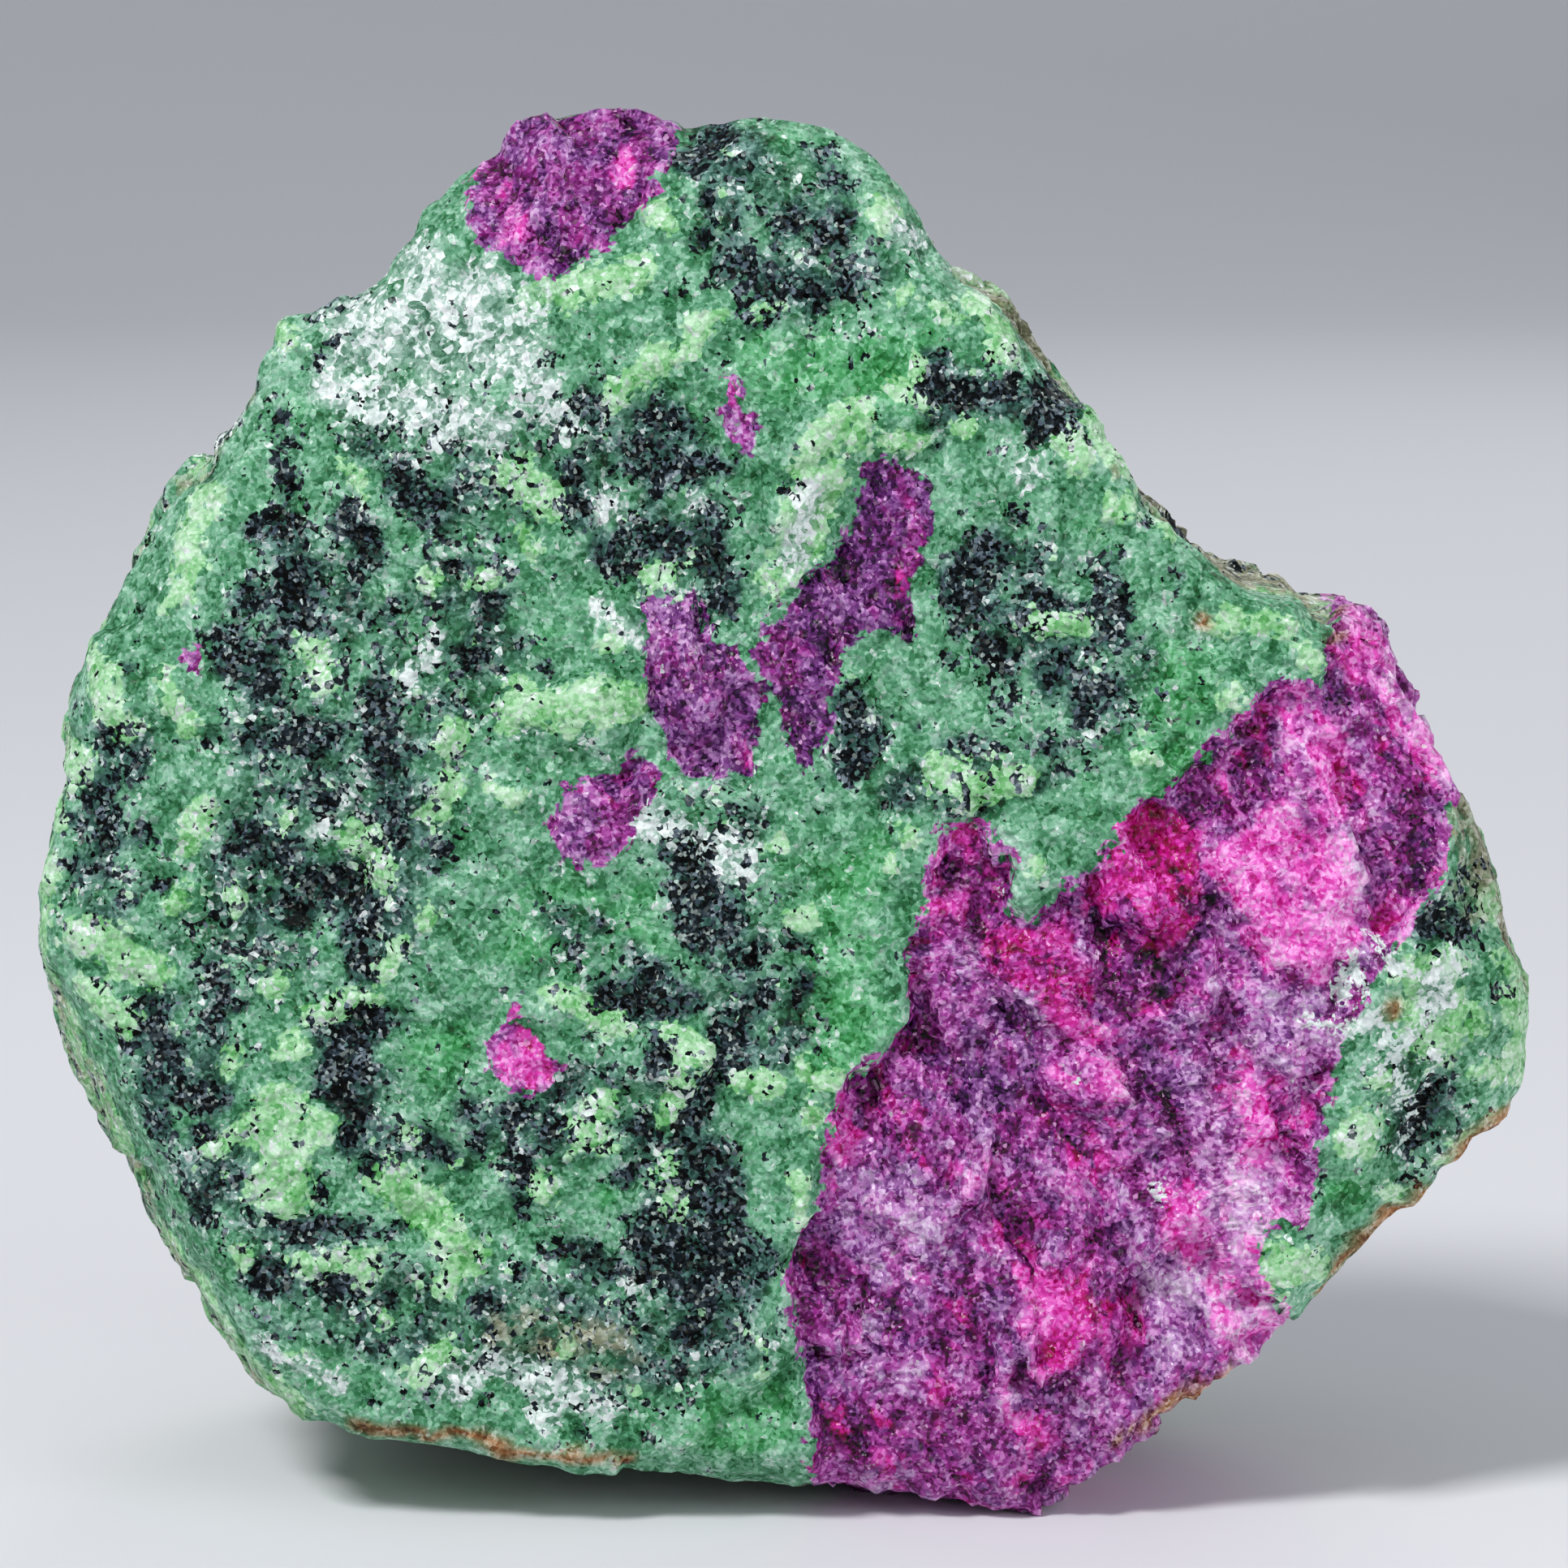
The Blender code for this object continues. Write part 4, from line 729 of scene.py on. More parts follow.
def squeezed_along_run(points, length, width):
    """The points in space turned to the ruby's run, where a splinter is one unit each way."""
    turn = np.radians(SPLINTER_RUN)
    along = points[:, 0] * np.cos(turn) - points[:, 2] * np.sin(turn)
    aside = points[:, 0] * np.sin(turn) + points[:, 2] * np.cos(turn)
    return np.stack([along / length, aside / width, points[:, 1] / width], axis=1)


def splinters(points):
    """Ridges and steps of the ruby: flat chips in space that is squeezed across its run."""
    height = np.zeros(len(points))
    for length, width, depth, seed in SPLINTERS:
        height += depth * flat_chips(squeezed_along_run(points, length, width), 1.0, seed)
    return height


# -------------------- The minerals.


def ragged(points, front):
    """The points, moved about by noise so that what is drawn at them has ragged edges."""
    for size, on_front, elsewhere, seed in EDGE_WARP:
        shift = elsewhere + (on_front - elsewhere) * front
        moved = [soft_noise(points, size, seed + axis) for axis in range(3)]
        points = points + shift[:, None] * np.stack(moved, axis=1)
    return points


def clouds(points, size, seed, low, high):
    """Patches from 0 to 1: noise of two sizes, steepened between the two levels."""
    strength, share = CLOUD_DETAIL
    fine = soft_noise(points, size * share, seed + 1)
    return blend(soft_noise(points, size, seed) + strength * fine, low, high)


def drawn(points, places):
    """Spots and runs on the front: 1 in the middle, and gone a little outside their radius."""
    amount = np.zeros(len(points))
    radii, more = SPOT_FADES
    for place in places:
        start, end, radius = place[:2], place[-3:-1], place[-1]
        away = run_distance(points[:, 0], points[:, 2], start, end)
        spot = blend(-away, -radii * radius - more, -SPOT_CORE * radius)
        amount = np.maximum(amount, spot)
    return amount


def facet_shades(points):
    """Warmth and lightness of the facet that holds each point, with narrow borders. The lightness is
    partly painted light and shade.
    """
    warmth, light = np.zeros(len(points)), np.zeros(len(points))
    for warm, bright, outline in RUBY_FACETS:
        inside = blend(inside_distance(points[:, 0], points[:, 2], outline), *FACET_BORDER)
        warmth += (warm - warmth) * inside
        light += (bright - light) * inside
    return warmth, light


def chip_shades(points, first_seed):
    """Random shades of long chips, -1 to 1, in the space that the ruby splinters in."""
    shade = np.zeros(len(points))
    for length, width, depth, seed in SPLINTERS:
        squeezed = squeezed_along_run(points, length, width)
        steep = CHIP_SHADE_STEEP * flat_chips(squeezed, 1.0, seed + first_seed)
        shade += np.clip(steep, -1.0, 1.0) / len(SPLINTERS)
    return shade


def ruby_depth(points):
    """Distance into the nearest ruby: positive inside it and negative outside."""
    depth = np.full(len(points), -np.inf)
    for outline, y_low, y_high in RUBIES:
        sideways = inside_distance(points[:, 0], points[:, 2], outline)
        through = np.minimum(points[:, 1] - y_low, y_high - points[:, 1])
        depth = np.maximum(depth, np.minimum(sideways, through))
    return np.clip(depth, -RUBY_DEEPEST, RUBY_DEEPEST)


def minerals_at(points, through):
    """Amounts of every mineral and shade: the drawn ones in front, clouds of them elsewhere."""
    front = 1.0 - blend(through, *SKIN)
    rest = 1.0 - front
    spot = ragged(points, front)
    mixed = clouds(spot * LAYERED, *MIXED_ROCK)
    warmth, light = facet_shades(spot)
    # Painted highlights along the lit edges and painted shadow in the cracks.
    light += LIT_EDGE_GAIN * drawn(spot, PAINTED_LIT_EDGES) - CRACK_SHADOW_GAIN * drawn(spot, PAINTED_CRACK_SHADOWS)
    amounts = {
        "ruby": ruby_depth(spot),
        "pepper": np.maximum(front * drawn(spot, SALT_AND_PEPPER), rest * mixed),
        "vein": front * drawn(spot, WHITE_VEINS),
        "wall": blend(through, *WALL_BEGINS) * (1.0 - blend(through, *WALL_ENDS)),
    }
    for name, near in (("ruby_warmth", warmth), ("ruby_light", light)):
        gain, offset, *cloud = FAR_SHADES[name]
        amounts[name] = (front * near + CHIP_SHADES * chip_shades(spot, CHIP_SEEDS[name])
                         + rest * (gain * clouds(spot, *cloud) + offset))
    strength = {"hornblende": mixed, "rust": RUST_ELSEWHERE}
    for name, (places, squash, *cloud) in MARKS.items():
        thick = rest * strength.get(name, 1.0)
        amounts[name] = np.maximum(front * drawn(spot, places),
                                   thick * clouds(spot * squash, *cloud))
    return amounts


# -------------------- Materials.


def linear(hex_colour):
    """An sRGB hex colour as linear red, green, blue and alpha."""
    parts = [int(hex_colour[place:place + 2], 16) / 255.0 for place in (1, 3, 5)]
    straight = [part / 12.92 if part <= 0.04045 else ((part + 0.055) / 1.055) ** 2.4
                for part in parts]
    return (*straight, 1.0)


def add(tree, kind, settings=None, sockets=None):
    """Add a shader node, set its settings, link or set its sockets. Returns its first output."""
    node = tree.nodes.new("ShaderNode" + kind)
    for name, value in (settings or {}).items():
        setattr(node, name, value)
    for name, value in (sockets or {}).items():
        socket = node.inputs[name]
        if isinstance(value, bpy.types.NodeSocket):
            tree.links.new(value, socket)
        else:
            socket.default_value = value
    return next(output for output in node.outputs if output.enabled)


FACTOR, FIRST, SECOND = 0, 6, 7  # the sockets of a Mix node that mixes colours
LOW_NUMBER, HIGH_NUMBER = 2, 3   # and of one that mixes numbers


def weighed(tree, *terms):
    """One value about 0.5: a half, plus each value's distance from a half times its weight."""
    total = 0.5 - 0.5 * sum(weight for value, weight in terms)
    for value, weight in terms:
        total = add(tree, "Math", {"operation": "MULTIPLY_ADD"},
                    {0: value, 1: weight, 2: total})
    return total


def mask(tree, low, high, *terms):
    """A smooth step from 0 where the weighed terms come to low, to 1 where they come to high."""
    return add(tree, "MapRange", {"interpolation_type": "SMOOTHSTEP"},
               {"Value": weighed(tree, *terms), "From Min": low, "From Max": high})


def layered(tree, colour, *layers):
    """A colour with others laid over it in turn, each by its factor."""
    for factor, over in layers:
        colour = add(tree, "Mix", {"data_type": "RGBA"},
                     {FACTOR: factor, FIRST: colour, SECOND: over})
    return colour


def faceted(tree, cells, points):
    """Relief of grains that are each broken along a flat of their own.

    The height is the way from the grain's middle, times a random direction.
    """
    away = add(tree, "VectorMath", {"operation": "SUBTRACT"},
               {0: points, 1: cells.outputs["Position"]})
    tilt = add(tree, "VectorMath", {"operation": "SUBTRACT"},
               {0: cells.outputs["Color"], 1: (0.5, 0.5, 0.5)})
    return add(tree, "VectorMath", {"operation": "DOT_PRODUCT"}, {0: away, 1: tilt})


def stone_material(settings):
    """Zoisite rock with ruby and hornblende, broken and never polished.

    The break runs round sugary grains, so the stone is dull with many small glints.
    Each mineral has one colour, and the grains are lighter and darker powers of it,
    which makes the dark ones richer, as they are in a stone that light goes into.
    """
    material = bpy.data.materials.new("zoisite_with_ruby_and_hornblende")
    material.use_nodes = True
    tree = material.node_tree
    shader = tree.nodes["Principled BSDF"]
    amount = {name: add(tree, "Attribute", {"attribute_name": name}).node.outputs["Fac"]
              for name in AMOUNTS}

    place = add(tree, "TexCoord").node.outputs["Object"]
    place = add(tree, "Mapping", None,
                {"Vector": place, "Scale": (1.0 / MILLIMETRE,) * 3})
    sway = add(tree, "TexNoise", None,
               {"Vector": place, "Scale": 1.0 / SWAY_WIDTH, "Detail": 0.0}).node
    bent = add(tree, "VectorMath", {"operation": "MULTIPLY_ADD"},
               {0: sway.outputs["Color"], 1: (SWAY,) * 3, 2: place})

    grain = add(tree, "TexVoronoi", None,
                {"Vector": bent, "Scale": MILLIMETRE / settings.grain_width}).node
    speck = add(tree, "TexVoronoi", None,
                {"Vector": bent, "Scale": MILLIMETRE / settings.speck_width}).node
    grain_1, grain_2, grain_3 = add(tree, "SeparateColor", None,
                                    {"Color": grain.outputs["Color"]}).node.outputs
    speck_1, speck_2, speck_3 = add(tree, "SeparateColor", None,
                                    {"Color": speck.outputs["Color"]}).node.outputs
    mottle = add(tree, "TexNoise", None,
                 {"Vector": place, "Scale": 1.0 / MOTTLE_WIDTH, "Detail": 1.0,
                  "Roughness": 0.6}).node
    mottle_1, mottle_2, mottle_3 = add(tree, "SeparateColor", None,
                                       {"Color": mottle.outputs["Color"]}).node.outputs
    crumbs = add(tree, "TexNoise", None,
                 {"Vector": bent, "Scale": 1.0 / CRUMB_WIDTH, "Detail": 1.0, "Roughness": 0.65})
    # The rock is layered from front to back, which shows where the wall cuts the layers.
    layers = add(tree, "Mapping", None, {"Vector": bent, "Scale": LAYER_SCALE})
    layers = add(tree, "TexNoise", None, {"Vector": layers, "Scale": 1.0, "Detail": 1.0})
    layers = add(tree, "Mix", {"data_type": "FLOAT"},
                 {FACTOR: amount["wall"], LOW_NUMBER: 0.5, HIGH_NUMBER: layers})
    # Noise that is the same all over a grain, so that grains of a kind lie in clusters.
    cluster = add(tree, "TexNoise", None,
                  {"Vector": grain.outputs["Position"], "Scale": 1.0 / CLUSTER_WIDTH,
                   "Detail": 2.0, "Roughness": 0.6})
    along = add(tree, "Mapping", {"vector_type": "TEXTURE"},
                {"Vector": bent, "Rotation": (0.0, np.radians(SPLINTER_RUN), 0.0),
                 "Scale": (SPLINTER_STRETCH, 1.0, 1.0)})
    streaks = add(tree, "TexNoise", None,
                  {"Vector": along, "Scale": 1.0 / STREAK_WIDTH, "Detail": 1.0,
                   "Roughness": 0.65})
    chip = add(tree, "TexVoronoi", None,
               {"Vector": along, "Scale": 1.0 / SPLINTER_CHIP}).node
    chip_1, chip_2, chip_3 = add(tree, "SeparateColor", None,
                                 {"Color": chip.outputs["Color"]}).node.outputs

    # Zoisite: plain, lush, dusky beside the hornblende, pale in patches, stained or frosted.
    lush = mask(tree, 0.20, 1.00, (amount["lush"], 0.7), (mottle_2, 1.8), (cluster, 0.5))
    dusk = mask(tree, 0.10, 0.90, (amount["pepper"], 1.0), (amount["hornblende"], 0.8),
                (mottle_3, 1.6), (cluster, 0.9))
    pale = mask(tree, 0.15, 0.29, (amount["pale"], 1.1), (amount["pepper"], 0.25),
                (amount["wall"], 0.5), (cluster, 1.7), (grain_2, 0.6), (layers, 3.0))
    drab = mask(tree, 0.25, 0.85, (amount["weathered"], 1.0), (amount["wall"], 0.9),
                (cluster, 1.8), (mottle_3, 0.8))
    milk = mask(tree, 0.20, 1.10, (amount["frost"], 0.8), (mottle_3, 0.8), (cluster, 0.6))
    frost = mask(tree, 0.58, 0.92, (amount["frost"], 0.85), (amount["pepper"], 0.25),
                 (amount["pale"], 0.15), (speck_3, 0.8), (grain_3, 1.0), (cluster, 1.4),
                 (layers, -1.2))
    # Hornblende is whole black grains, thick where it is drawn and thin in the mixed rock.
    black = mask(tree, 0.66, 0.76, (amount["hornblende"], 0.76), (amount["pepper"], 0.46),
                 (cluster, 2.5), (grain_1, 1.0), (speck_3, 0.5), (layers, -2.6))
    # Painted sheen: grey-blue on some black grains, standing in for the light that they catch.
    sheen = mask(tree, 0.60, 1.10, (speck_2, 0.7), (grain_2, 0.7), (cluster, -1.0))
    rock = layered(tree, settings.zoisite, (lush, settings.lush_zoisite),
                   (dusk, settings.dusky_zoisite), (pale, settings.pale_zoisite),
                   (drab, settings.weathered), (milk, settings.milky_zoisite),
                   (frost, settings.frost))
    hornblende = layered(tree, settings.hornblende, (sheen, settings.hornblende_painted_sheen))
    rock = layered(tree, rock, (black, hornblende))

    # Ruby: from violet to hot crimson grains, with lilac where it is altered.
    warmth = add(tree, "Math", {"operation": "MULTIPLY_ADD"},
                 {0: amount["ruby_warmth"], 1: 0.5, 2: WARMTH_MIDDLE})
    # The rubies' lightness carries the facets' painted light and shade.
    lightness = add(tree, "Math", {"operation": "MULTIPLY_ADD"},
                    {0: amount["ruby_light"], 1: 0.5, 2: LIGHT_MIDDLE})
    edge = add(tree, "Math", {"operation": "ADD"}, {0: amount["ruby"], 1: 0.5})
    warm = mask(tree, 0.12, 0.68, (warmth, 0.8), (chip_2, 0.5), (grain_2, 0.35), (cluster, 0.9))
    lilac = mask(tree, 0.40, 1.00, (amount["lilac"], 0.8), (streaks, 1.4), (cluster, 1.0))
    # The hot crimson is partly the ruby's hue and partly painted light: a lit copy of the ruby where
    # facets face the light.
    hot = mask(tree, 0.60, 1.00, (warmth, 1.0), (streaks, 0.7), (chip_1, 0.4))
    ruby = layered(tree, settings.violet_ruby, (warm, settings.ruby), (lilac, settings.lilac_ruby),
                   (hot, settings.hot_lit_ruby))
    is_ruby = mask(tree, 0.40, 0.60, (edge, 1.0), (cluster, 2.4), (grain_1, 0.6))
    veined = mask(tree, 0.55, 0.85, (amount["vein"], 1.0), (cluster, 1.6), (speck_3, 0.8))
    colour = layered(tree, rock, (is_ruby, ruby), (veined, settings.frost),
                     (amount["rust"], settings.rust))

    # Light and dark grains.
    rock_light = weighed(tree, (mottle_1, 0.7), (cluster, 1.3), (grain_3, 0.40), (speck_2, 0.45))
    ruby_light = weighed(tree, (mottle_1, 0.2), (streaks, 0.5), (speck_2, 0.70), (grain_3, 0.45),
                         (chip_3, 0.35), (lightness, 0.54))
    light = add(tree, "Mix", {"data_type": "FLOAT"},
                {FACTOR: is_ruby, LOW_NUMBER: rock_light, HIGH_NUMBER: ruby_light})
    # Painted shade in the hollows of the surface, and painted light on its ridges.
    light = add(tree, "Math", {"operation": "MULTIPLY_ADD"},
                {0: amount["hollow"], 1: HOLLOW_PAINTED_SHADE, 2: light})
    power = add(tree, "Math", {"operation": "SUBTRACT"}, {0: light, 1: 0.5})
    power = add(tree, "Math", {"operation": "POWER"}, {0: settings.contrast, 1: power})
    colour = add(tree, "Gamma", None, {"Color": colour, "Gamma": power})

    # Painted glints: pale dots in the colour on some of the finest grains, most in the mixed rock,
    # stand in for light that clear grains throw back.
    lit = mask(tree, 0.85, 1.05, (speck_1, 1.0), (amount["pepper"], 0.10), (cluster, 0.8),
               (is_ruby, 0.06))
    lit = add(tree, "Math", {"operation": "MULTIPLY"}, {0: lit, 1: speck_2})
    dot = add(tree, "Math", {"operation": "MULTIPLY"}, {0: lit, 1: settings.glints})
    glint = layered(tree, settings.rock_painted_glint, (is_ruby, settings.ruby_painted_glint))
    colour = layered(tree, colour, (dot, glint))
    tree.links.new(colour, shader.inputs["Base Color"])

    # Grains glint when they are broken flat, and ruby more than the rock.
    shine = weighed(tree, (speck_3, 0.5), (is_ruby, -0.12))
    gloss = add(tree, "Mix", {"data_type": "FLOAT"},
                {FACTOR: black, LOW_NUMBER: ROCK_GLOSS, HIGH_NUMBER: HORNBLENDE_GLOSS})
    tree.links.new(gloss, shader.inputs["Specular IOR Level"])
    tree.links.new(shine, shader.inputs["Roughness"])
    within = add(tree, "Math", {"operation": "ADD", "use_clamp": True},
                 {0: amount["ruby"], 1: 0.5})
    chip_flats = add(tree, "Math", {"operation": "MULTIPLY"},
                     {0: faceted(tree, chip, along), 1: CHIP_RELIEF})
    relief = add(tree, "Mix", {"data_type": "FLOAT"},
                 {FACTOR: within, LOW_NUMBER: faceted(tree, grain, bent),
                  HIGH_NUMBER: chip_flats})
    relief = add(tree, "Math", {"operation": "MULTIPLY_ADD"},
                 {0: crumbs, 1: CRUMB_RELIEF, 2: relief})
    relief = add(tree, "Math", {"operation": "ADD"},
                 {0: faceted(tree, speck, bent), 1: relief})
    bump = add(tree, "Bump", None,
               {"Height": relief, "Strength": 1.0, "Distance": settings.relief})
    tree.links.new(bump, shader.inputs["Normal"])
    return material


def paper_material(settings):
    """Matt card for the floor: an even, pale surface that takes soft shadows."""
    material = bpy.data.materials.new("matt_card")
    material.use_nodes = True
    shader = material.node_tree.nodes["Principled BSDF"]
    shader.inputs["Base Color"].default_value = settings.floor_colour
    shader.inputs["Roughness"].default_value = CARD_ROUGHNESS
    return material


# -------------------- Pieces.


def make_piece(name, points, faces, material, amounts=None):
    """An object at the origin from points in millimetres, with one attribute for each amount."""
    mesh = bpy.data.meshes.new(name)
    mesh.from_pydata(points * MILLIMETRE, [], faces.tolist())
    for kind, values in (amounts or {}).items():
        attribute = mesh.attributes.new(kind, "FLOAT", "POINT")
        attribute.data.foreach_set("value", values.astype(np.float32))
    mesh.materials.append(material)
    mesh.shade_smooth()
    piece = bpy.data.objects.new(name, mesh)
    bpy.context.scene.collection.objects.link(piece)
    return piece


def make_stone(settings):
    """The rock: the net on the rock, chipped by ever finer flats along its normals."""
    net, faces = cube_net(settings.net_across, settings.net_through)
    points, through = on_the_rock(net)
    normals = normals_of(points, faces)
    off_front = blend(through, CHIPS_START, CHIPS_FULL)
    amounts = minerals_at(points, through)
    in_ruby = blend(amounts["ruby"], -RUBY_BORDER, RUBY_BORDER)
    for size, front, elsewhere, seed in CHIPS:
        depth = front + (elsewhere - front) * off_front
        points = points + normals * (depth * flat_chips(points, size, seed))[:, None]
    points = smoothed(points, faces, 1)
    splintered = in_ruby * splinters(points)
    stands = PALE_STANDS * amounts["pale"] - HORNBLENDE_SINKS * amounts["hornblende"]
    raised = splintered + (1.0 - in_ruby) * stands - SURFACE_SINKS
    points = points + normals * raised[:, None]
    # How deep each point lies in a hollow, for the painted shade there.
    mean = smoothed(points, faces, HOLLOW_ROUNDS)
    hollow = np.sum((mean - points) * normals, axis=1) / HOLLOW_DEPTH
    amounts["hollow"] = np.clip(hollow, -1.0, 1.0)
    points[:, 2] = np.maximum(points[:, 2], 0.0)
    material = stone_material(settings)
    return make_piece("ruby_in_zoisite_surface", points, faces, material, amounts)


def make_floor(settings):
    """A floor that runs back and then curves up: a level, a quarter circle and a rise."""
    half, bend = settings.floor_width / 2.0, settings.floor_width / FLOOR_BEND
    turn = np.radians(np.linspace(0.0, 90.0, FLOOR_STEPS))
    run = np.concatenate([[-half], half - bend + bend * np.sin(turn), [half]])
    rise = np.concatenate([[0.0], bend - bend * np.cos(turn), [half]])
    sides = np.array([-half, half])
    x, y = np.meshgrid(sides, run)
    z = np.repeat(rise[:, None], 2, axis=1)
    points = np.stack([x.ravel(), y.ravel(), z.ravel()], axis=1) / MILLIMETRE
    number = np.arange(2 * len(run)).reshape(-1, 2)
    faces = np.stack([number[:-1, 0], number[:-1, 1], number[1:, 1], number[1:, 0]], axis=1)
    return make_piece("floor", points, faces, paper_material(settings))


def make_light(name, place, width, power):
    """A soft square light turned to the stone. Place and width are metres, power is watts."""
    lamp = bpy.data.lights.new(name, "AREA")
    lamp.shape = "SQUARE"
    lamp.size = width
    lamp.energy = power
    light = bpy.data.objects.new(name, lamp)
    light.location = place
    aim = Vector(CAMERA_TARGET) - Vector(place)
    light.rotation_euler = aim.to_track_quat("-Z", "Y").to_euler()
    bpy.context.scene.collection.objects.link(light)
    return light


def make_camera(settings):
    """A long lens in front of the stone that looks a little down on it."""
    lens = bpy.data.cameras.new("camera")
    lens.sensor_width = SENSOR_WIDTH
    lens.lens = settings.focal_length
    camera = bpy.data.objects.new("camera", lens)
    tilt = settings.camera_height
    away = settings.camera_distance * Vector((0.0, -np.cos(tilt), np.sin(tilt)))
    camera.location = Vector(CAMERA_TARGET) + away
    camera.rotation_euler = (np.pi / 2.0 - tilt, 0.0, 0.0)
    bpy.context.scene.collection.objects.link(camera)
    bpy.context.scene.camera = camera
    return camera


# -------------------- The add-on.


def colour_of(name, description, hex_colour):
    """A colour property whose default is an sRGB hex colour."""
    return bpy.props.FloatVectorProperty(
        name=name, description=description, subtype="COLOR", size=4, min=0.0, max=1.0,
        default=linear(hex_colour))


class StoneSettings(bpy.types.PropertyGroup):
    """The stone's net, grains and colours."""

    net_across: bpy.props.IntProperty(
        name="Net across", description="Divisions of each side of the front and the back",
        default=NET_ACROSS, min=8)
    net_through: bpy.props.IntProperty(
        name="Net through", description="Divisions of the wall from front to back",
        default=NET_THROUGH, min=4)
    grain_width: bpy.props.FloatProperty(
        name="Grain width", description="Width of the hornblende and zoisite grains",
        default=0.00050, precision=5, unit="LENGTH")
    speck_width: bpy.props.FloatProperty(
        name="Speck width", description="Width of the finest grains that show",
        default=0.00026, precision=5, unit="LENGTH")
    relief: bpy.props.FloatProperty(
        name="Grain relief", description="Height of the bumps where the pattern comes to one",
        default=0.00045, precision=5, unit="LENGTH")
    contrast: bpy.props.FloatProperty(
        name="Grain contrast", description="Power of a colour one whole step lighter: less is more",
        default=0.20, min=0.01, max=1.0)
    # The glints are painted highlights: pale dots laid into the colour.
    glints: bpy.props.FloatProperty(
        name="Glints", description="Strength of the clear grains' pale dots", default=0.62,
        min=0.0, max=1.0)
    zoisite: colour_of("Zoisite", "The plain green rock", "#5f9a77")
    dusky_zoisite: colour_of("Dusky zoisite", "The grey-green rock round the hornblende", "#385f56")
    milky_zoisite: colour_of("Milky zoisite", "Crushed rock between white grains", "#8cab9d")
    lush_zoisite: colour_of("Lush zoisite", "The deeper, cleaner green", "#4d9a63")
    pale_zoisite: colour_of("Pale zoisite", "The yellower, lighter patches", "#8fc491")
    frost: colour_of("Frost", "Crushed white grains", "#d3dfdb")
    # Hornblende sheen is a painted highlight on the black grains.
    hornblende_painted_sheen: colour_of("Hornblende sheen", "Black grains that catch the light", "#485863")
    hornblende: colour_of("Hornblende", "The black grains", "#060d11")
    weathered: colour_of("Weathered", "Drab stained rock", "#888a70")
    rust: colour_of("Rust", "Iron stain on the rim", "#8a5730")
    ruby: colour_of("Ruby", "The ruby's crimson grains", "#8c2a80")
    violet_ruby: colour_of("Violet ruby", "The ruby's violet grains", "#80488a")
    # Hot ruby is partly painted light: the ruby's colour where its facets face the light.
    hot_lit_ruby: colour_of("Hot ruby", "Clean ruby that faces the light", "#c42a94")
    lilac_ruby: colour_of("Lilac ruby", "Ruby altered at its surface", "#ac6cae")
    # Colours of the painted glints, which stand in for light thrown back by clear grains.
    rock_painted_glint: colour_of("Rock glint", "Clear grains in the rock", "#d3e6dc")
    ruby_painted_glint: colour_of("Ruby glint", "Clear grains in the ruby", "#e6b8dd")


class StageSettings(bpy.types.PropertyGroup):
    """The floor, the lights and the camera."""

    floor_width: bpy.props.FloatProperty(
        name="Floor width", description="Width and depth of the floor", default=3.0, unit="LENGTH")
    floor_colour: colour_of("Floor", "Colour of the floor", "#d6d7db")
    key_power: bpy.props.FloatProperty(
        name="Key light", description="Power of the light at the upper left", default=7.7,
        min=0.0, unit="POWER")
    fill_power: bpy.props.FloatProperty(
        name="Fill light", description="Power of the light at the right", default=2.6,
        min=0.0, unit="POWER")
    back_power: bpy.props.FloatProperty(
        name="Back light", description="Power of the light behind", default=1.6,
        min=0.0, unit="POWER")
    sky: bpy.props.FloatProperty(
        name="Sky", description="Strength of the even light from all round", default=0.36,
        min=0.0)
    sky_colour: colour_of("Sky colour", "Colour of that light", "#f2f5ff")
    camera_distance: bpy.props.FloatProperty(
        name="Camera distance", description="From the camera to the middle of the front face",
        default=0.450, unit="LENGTH")
    camera_height: bpy.props.FloatProperty(
        name="Camera height", description="Angle by which the camera looks down on the stone",
        default=np.radians(9.0), subtype="ANGLE")
    focal_length: bpy.props.FloatProperty(
        name="Focal length", description="The lens, on a sensor 36 mm wide", default=153.855,
        min=1.0)


class RUBYZOISITE_OT_stone(bpy.types.Operator):
    """Build the stone's surface in place of the plain solid"""

    bl_idname = "ruby_zoisite.stone"
    bl_label = "Build stone"

    def execute(self, context):
        stone = make_stone(context.scene.ruby_zoisite_stone)
        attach(stone, "root")
        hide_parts(NODE)
        return {"FINISHED"}


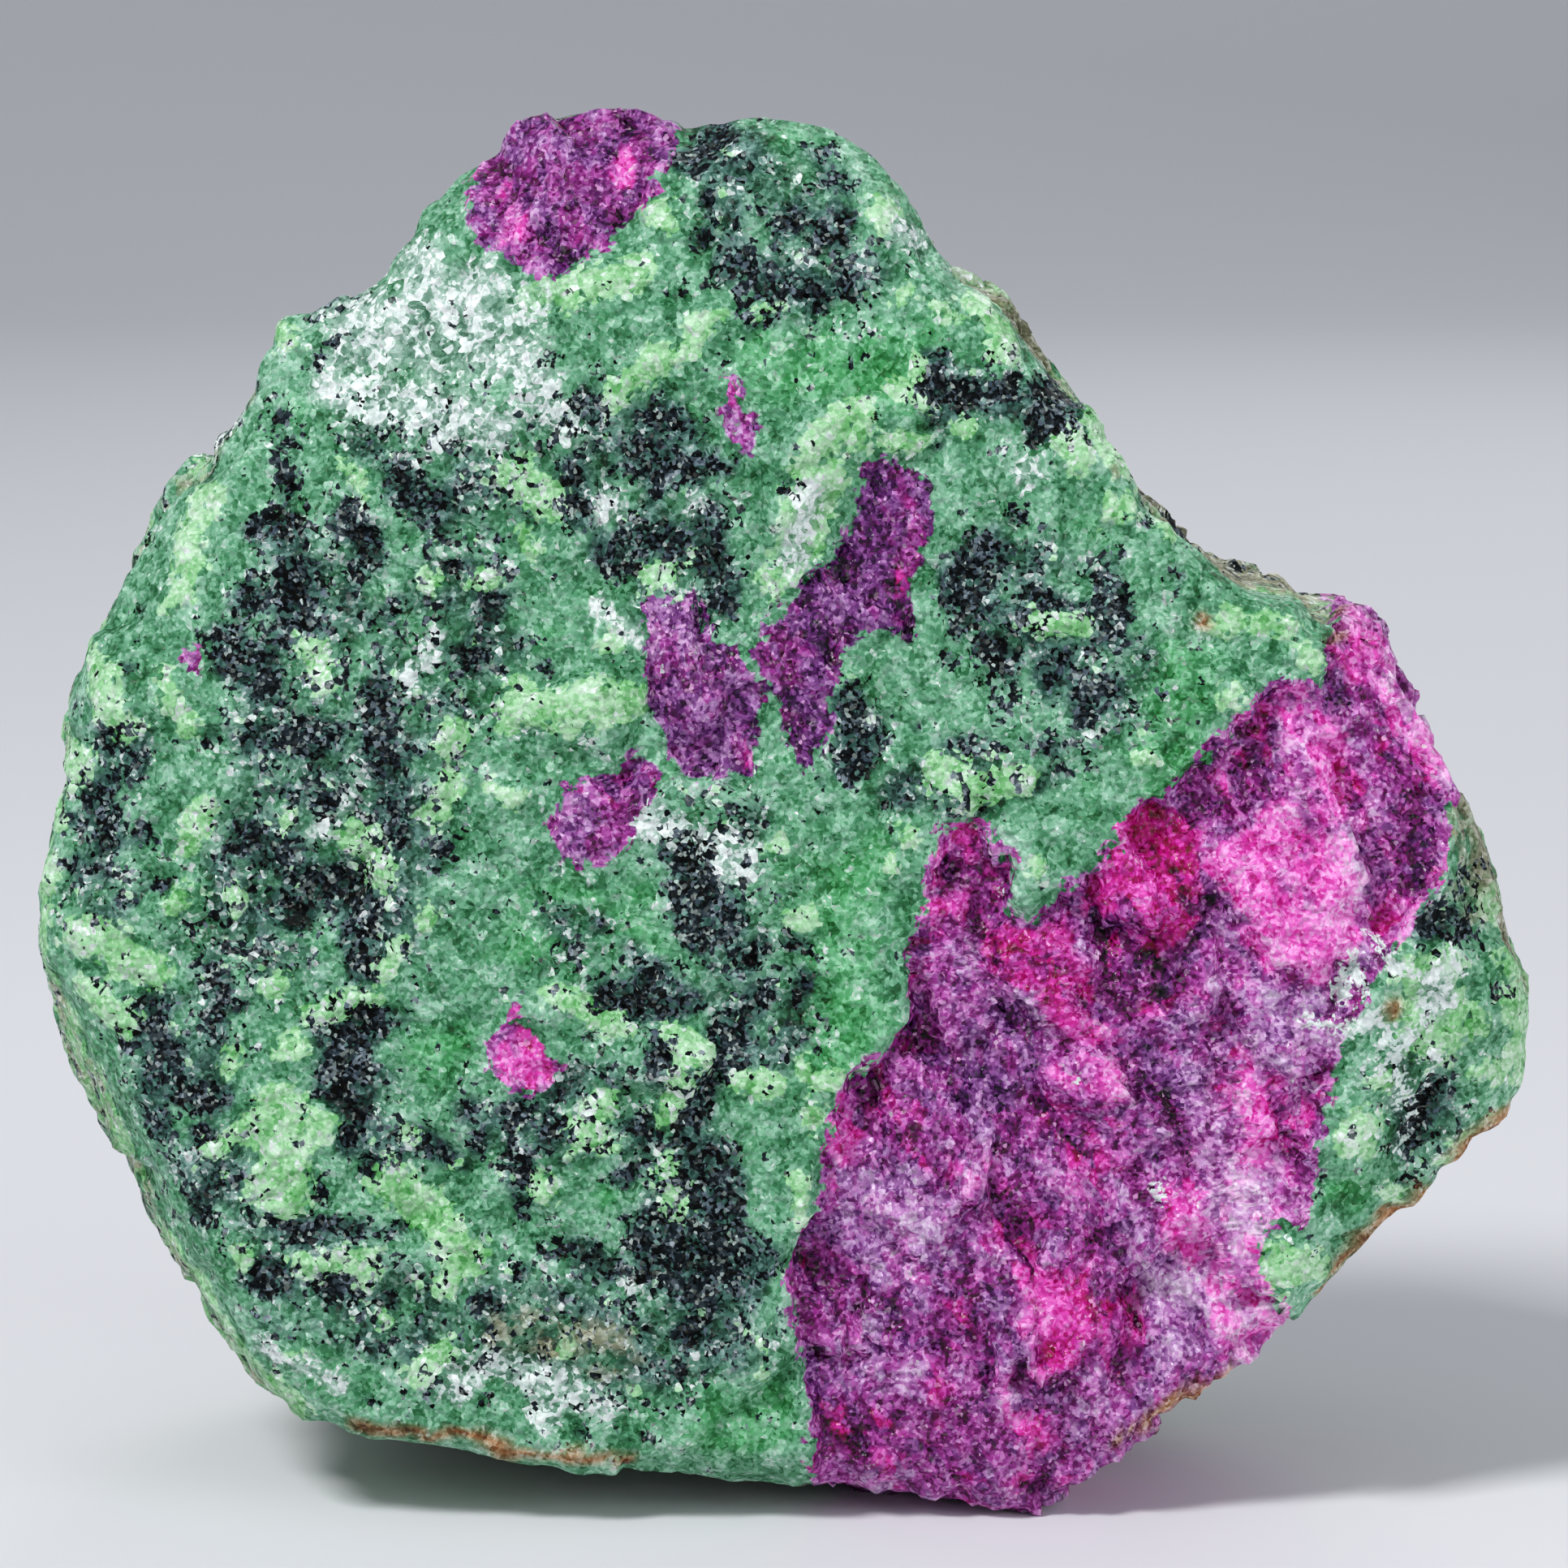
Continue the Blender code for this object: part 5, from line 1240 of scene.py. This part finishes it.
class RUBYZOISITE_OT_stage(bpy.types.Operator):
    """Build the floor, the lights, the sky and the camera"""

    bl_idname = "ruby_zoisite.stage"
    bl_label = "Build stage"

    def execute(self, context):
        settings = context.scene.ruby_zoisite_stage
        make_floor(settings)
        for name, place, width, power in LIGHTS:
            make_light(name, place, width, getattr(settings, power))
        make_camera(settings)
        world = bpy.data.worlds.new("sky")
        world.use_nodes = True
        background = world.node_tree.nodes["Background"]
        background.inputs["Color"].default_value = settings.sky_colour
        background.inputs["Strength"].default_value = settings.sky
        context.scene.world = world
        context.scene.view_settings.view_transform = "Standard"
        return {"FINISHED"}


class RUBYZOISITE_PT_panel(bpy.types.Panel):
    """Lists the pieces, their settings and the stage"""

    bl_idname = "RUBYZOISITE_PT_panel"
    bl_label = "Ruby in Zoisite"
    bl_space_type = "VIEW_3D"
    bl_region_type = "UI"
    bl_category = "Ruby in Zoisite"

    def draw(self, context):
        for operator, settings in (
            (RUBYZOISITE_OT_stone, context.scene.ruby_zoisite_stone),
            (RUBYZOISITE_OT_stage, context.scene.ruby_zoisite_stage),
        ):
            box = self.layout.box()
            box.operator(operator.bl_idname)
            for name in settings.bl_rna.properties.keys():
                if name not in ("rna_type", "name"):
                    box.prop(settings, name)


CLASSES = (StoneSettings, StageSettings, RUBYZOISITE_OT_stone, RUBYZOISITE_OT_stage,
           RUBYZOISITE_PT_panel)


def register():
    """Register the classes and hang the settings on the scene."""
    for kind in CLASSES:
        bpy.utils.register_class(kind)
    bpy.types.Scene.ruby_zoisite_stone = bpy.props.PointerProperty(type=StoneSettings)
    bpy.types.Scene.ruby_zoisite_stage = bpy.props.PointerProperty(type=StageSettings)


def unregister():
    """Take the settings off the scene and unregister the classes."""
    del bpy.types.Scene.ruby_zoisite_stage
    del bpy.types.Scene.ruby_zoisite_stone
    for kind in reversed(CLASSES):
        bpy.utils.unregister_class(kind)


def main():
    register()
    bpy.ops.ruby_zoisite.stone()
    bpy.ops.ruby_zoisite.stage()


if __name__ == "__main__":
    main()
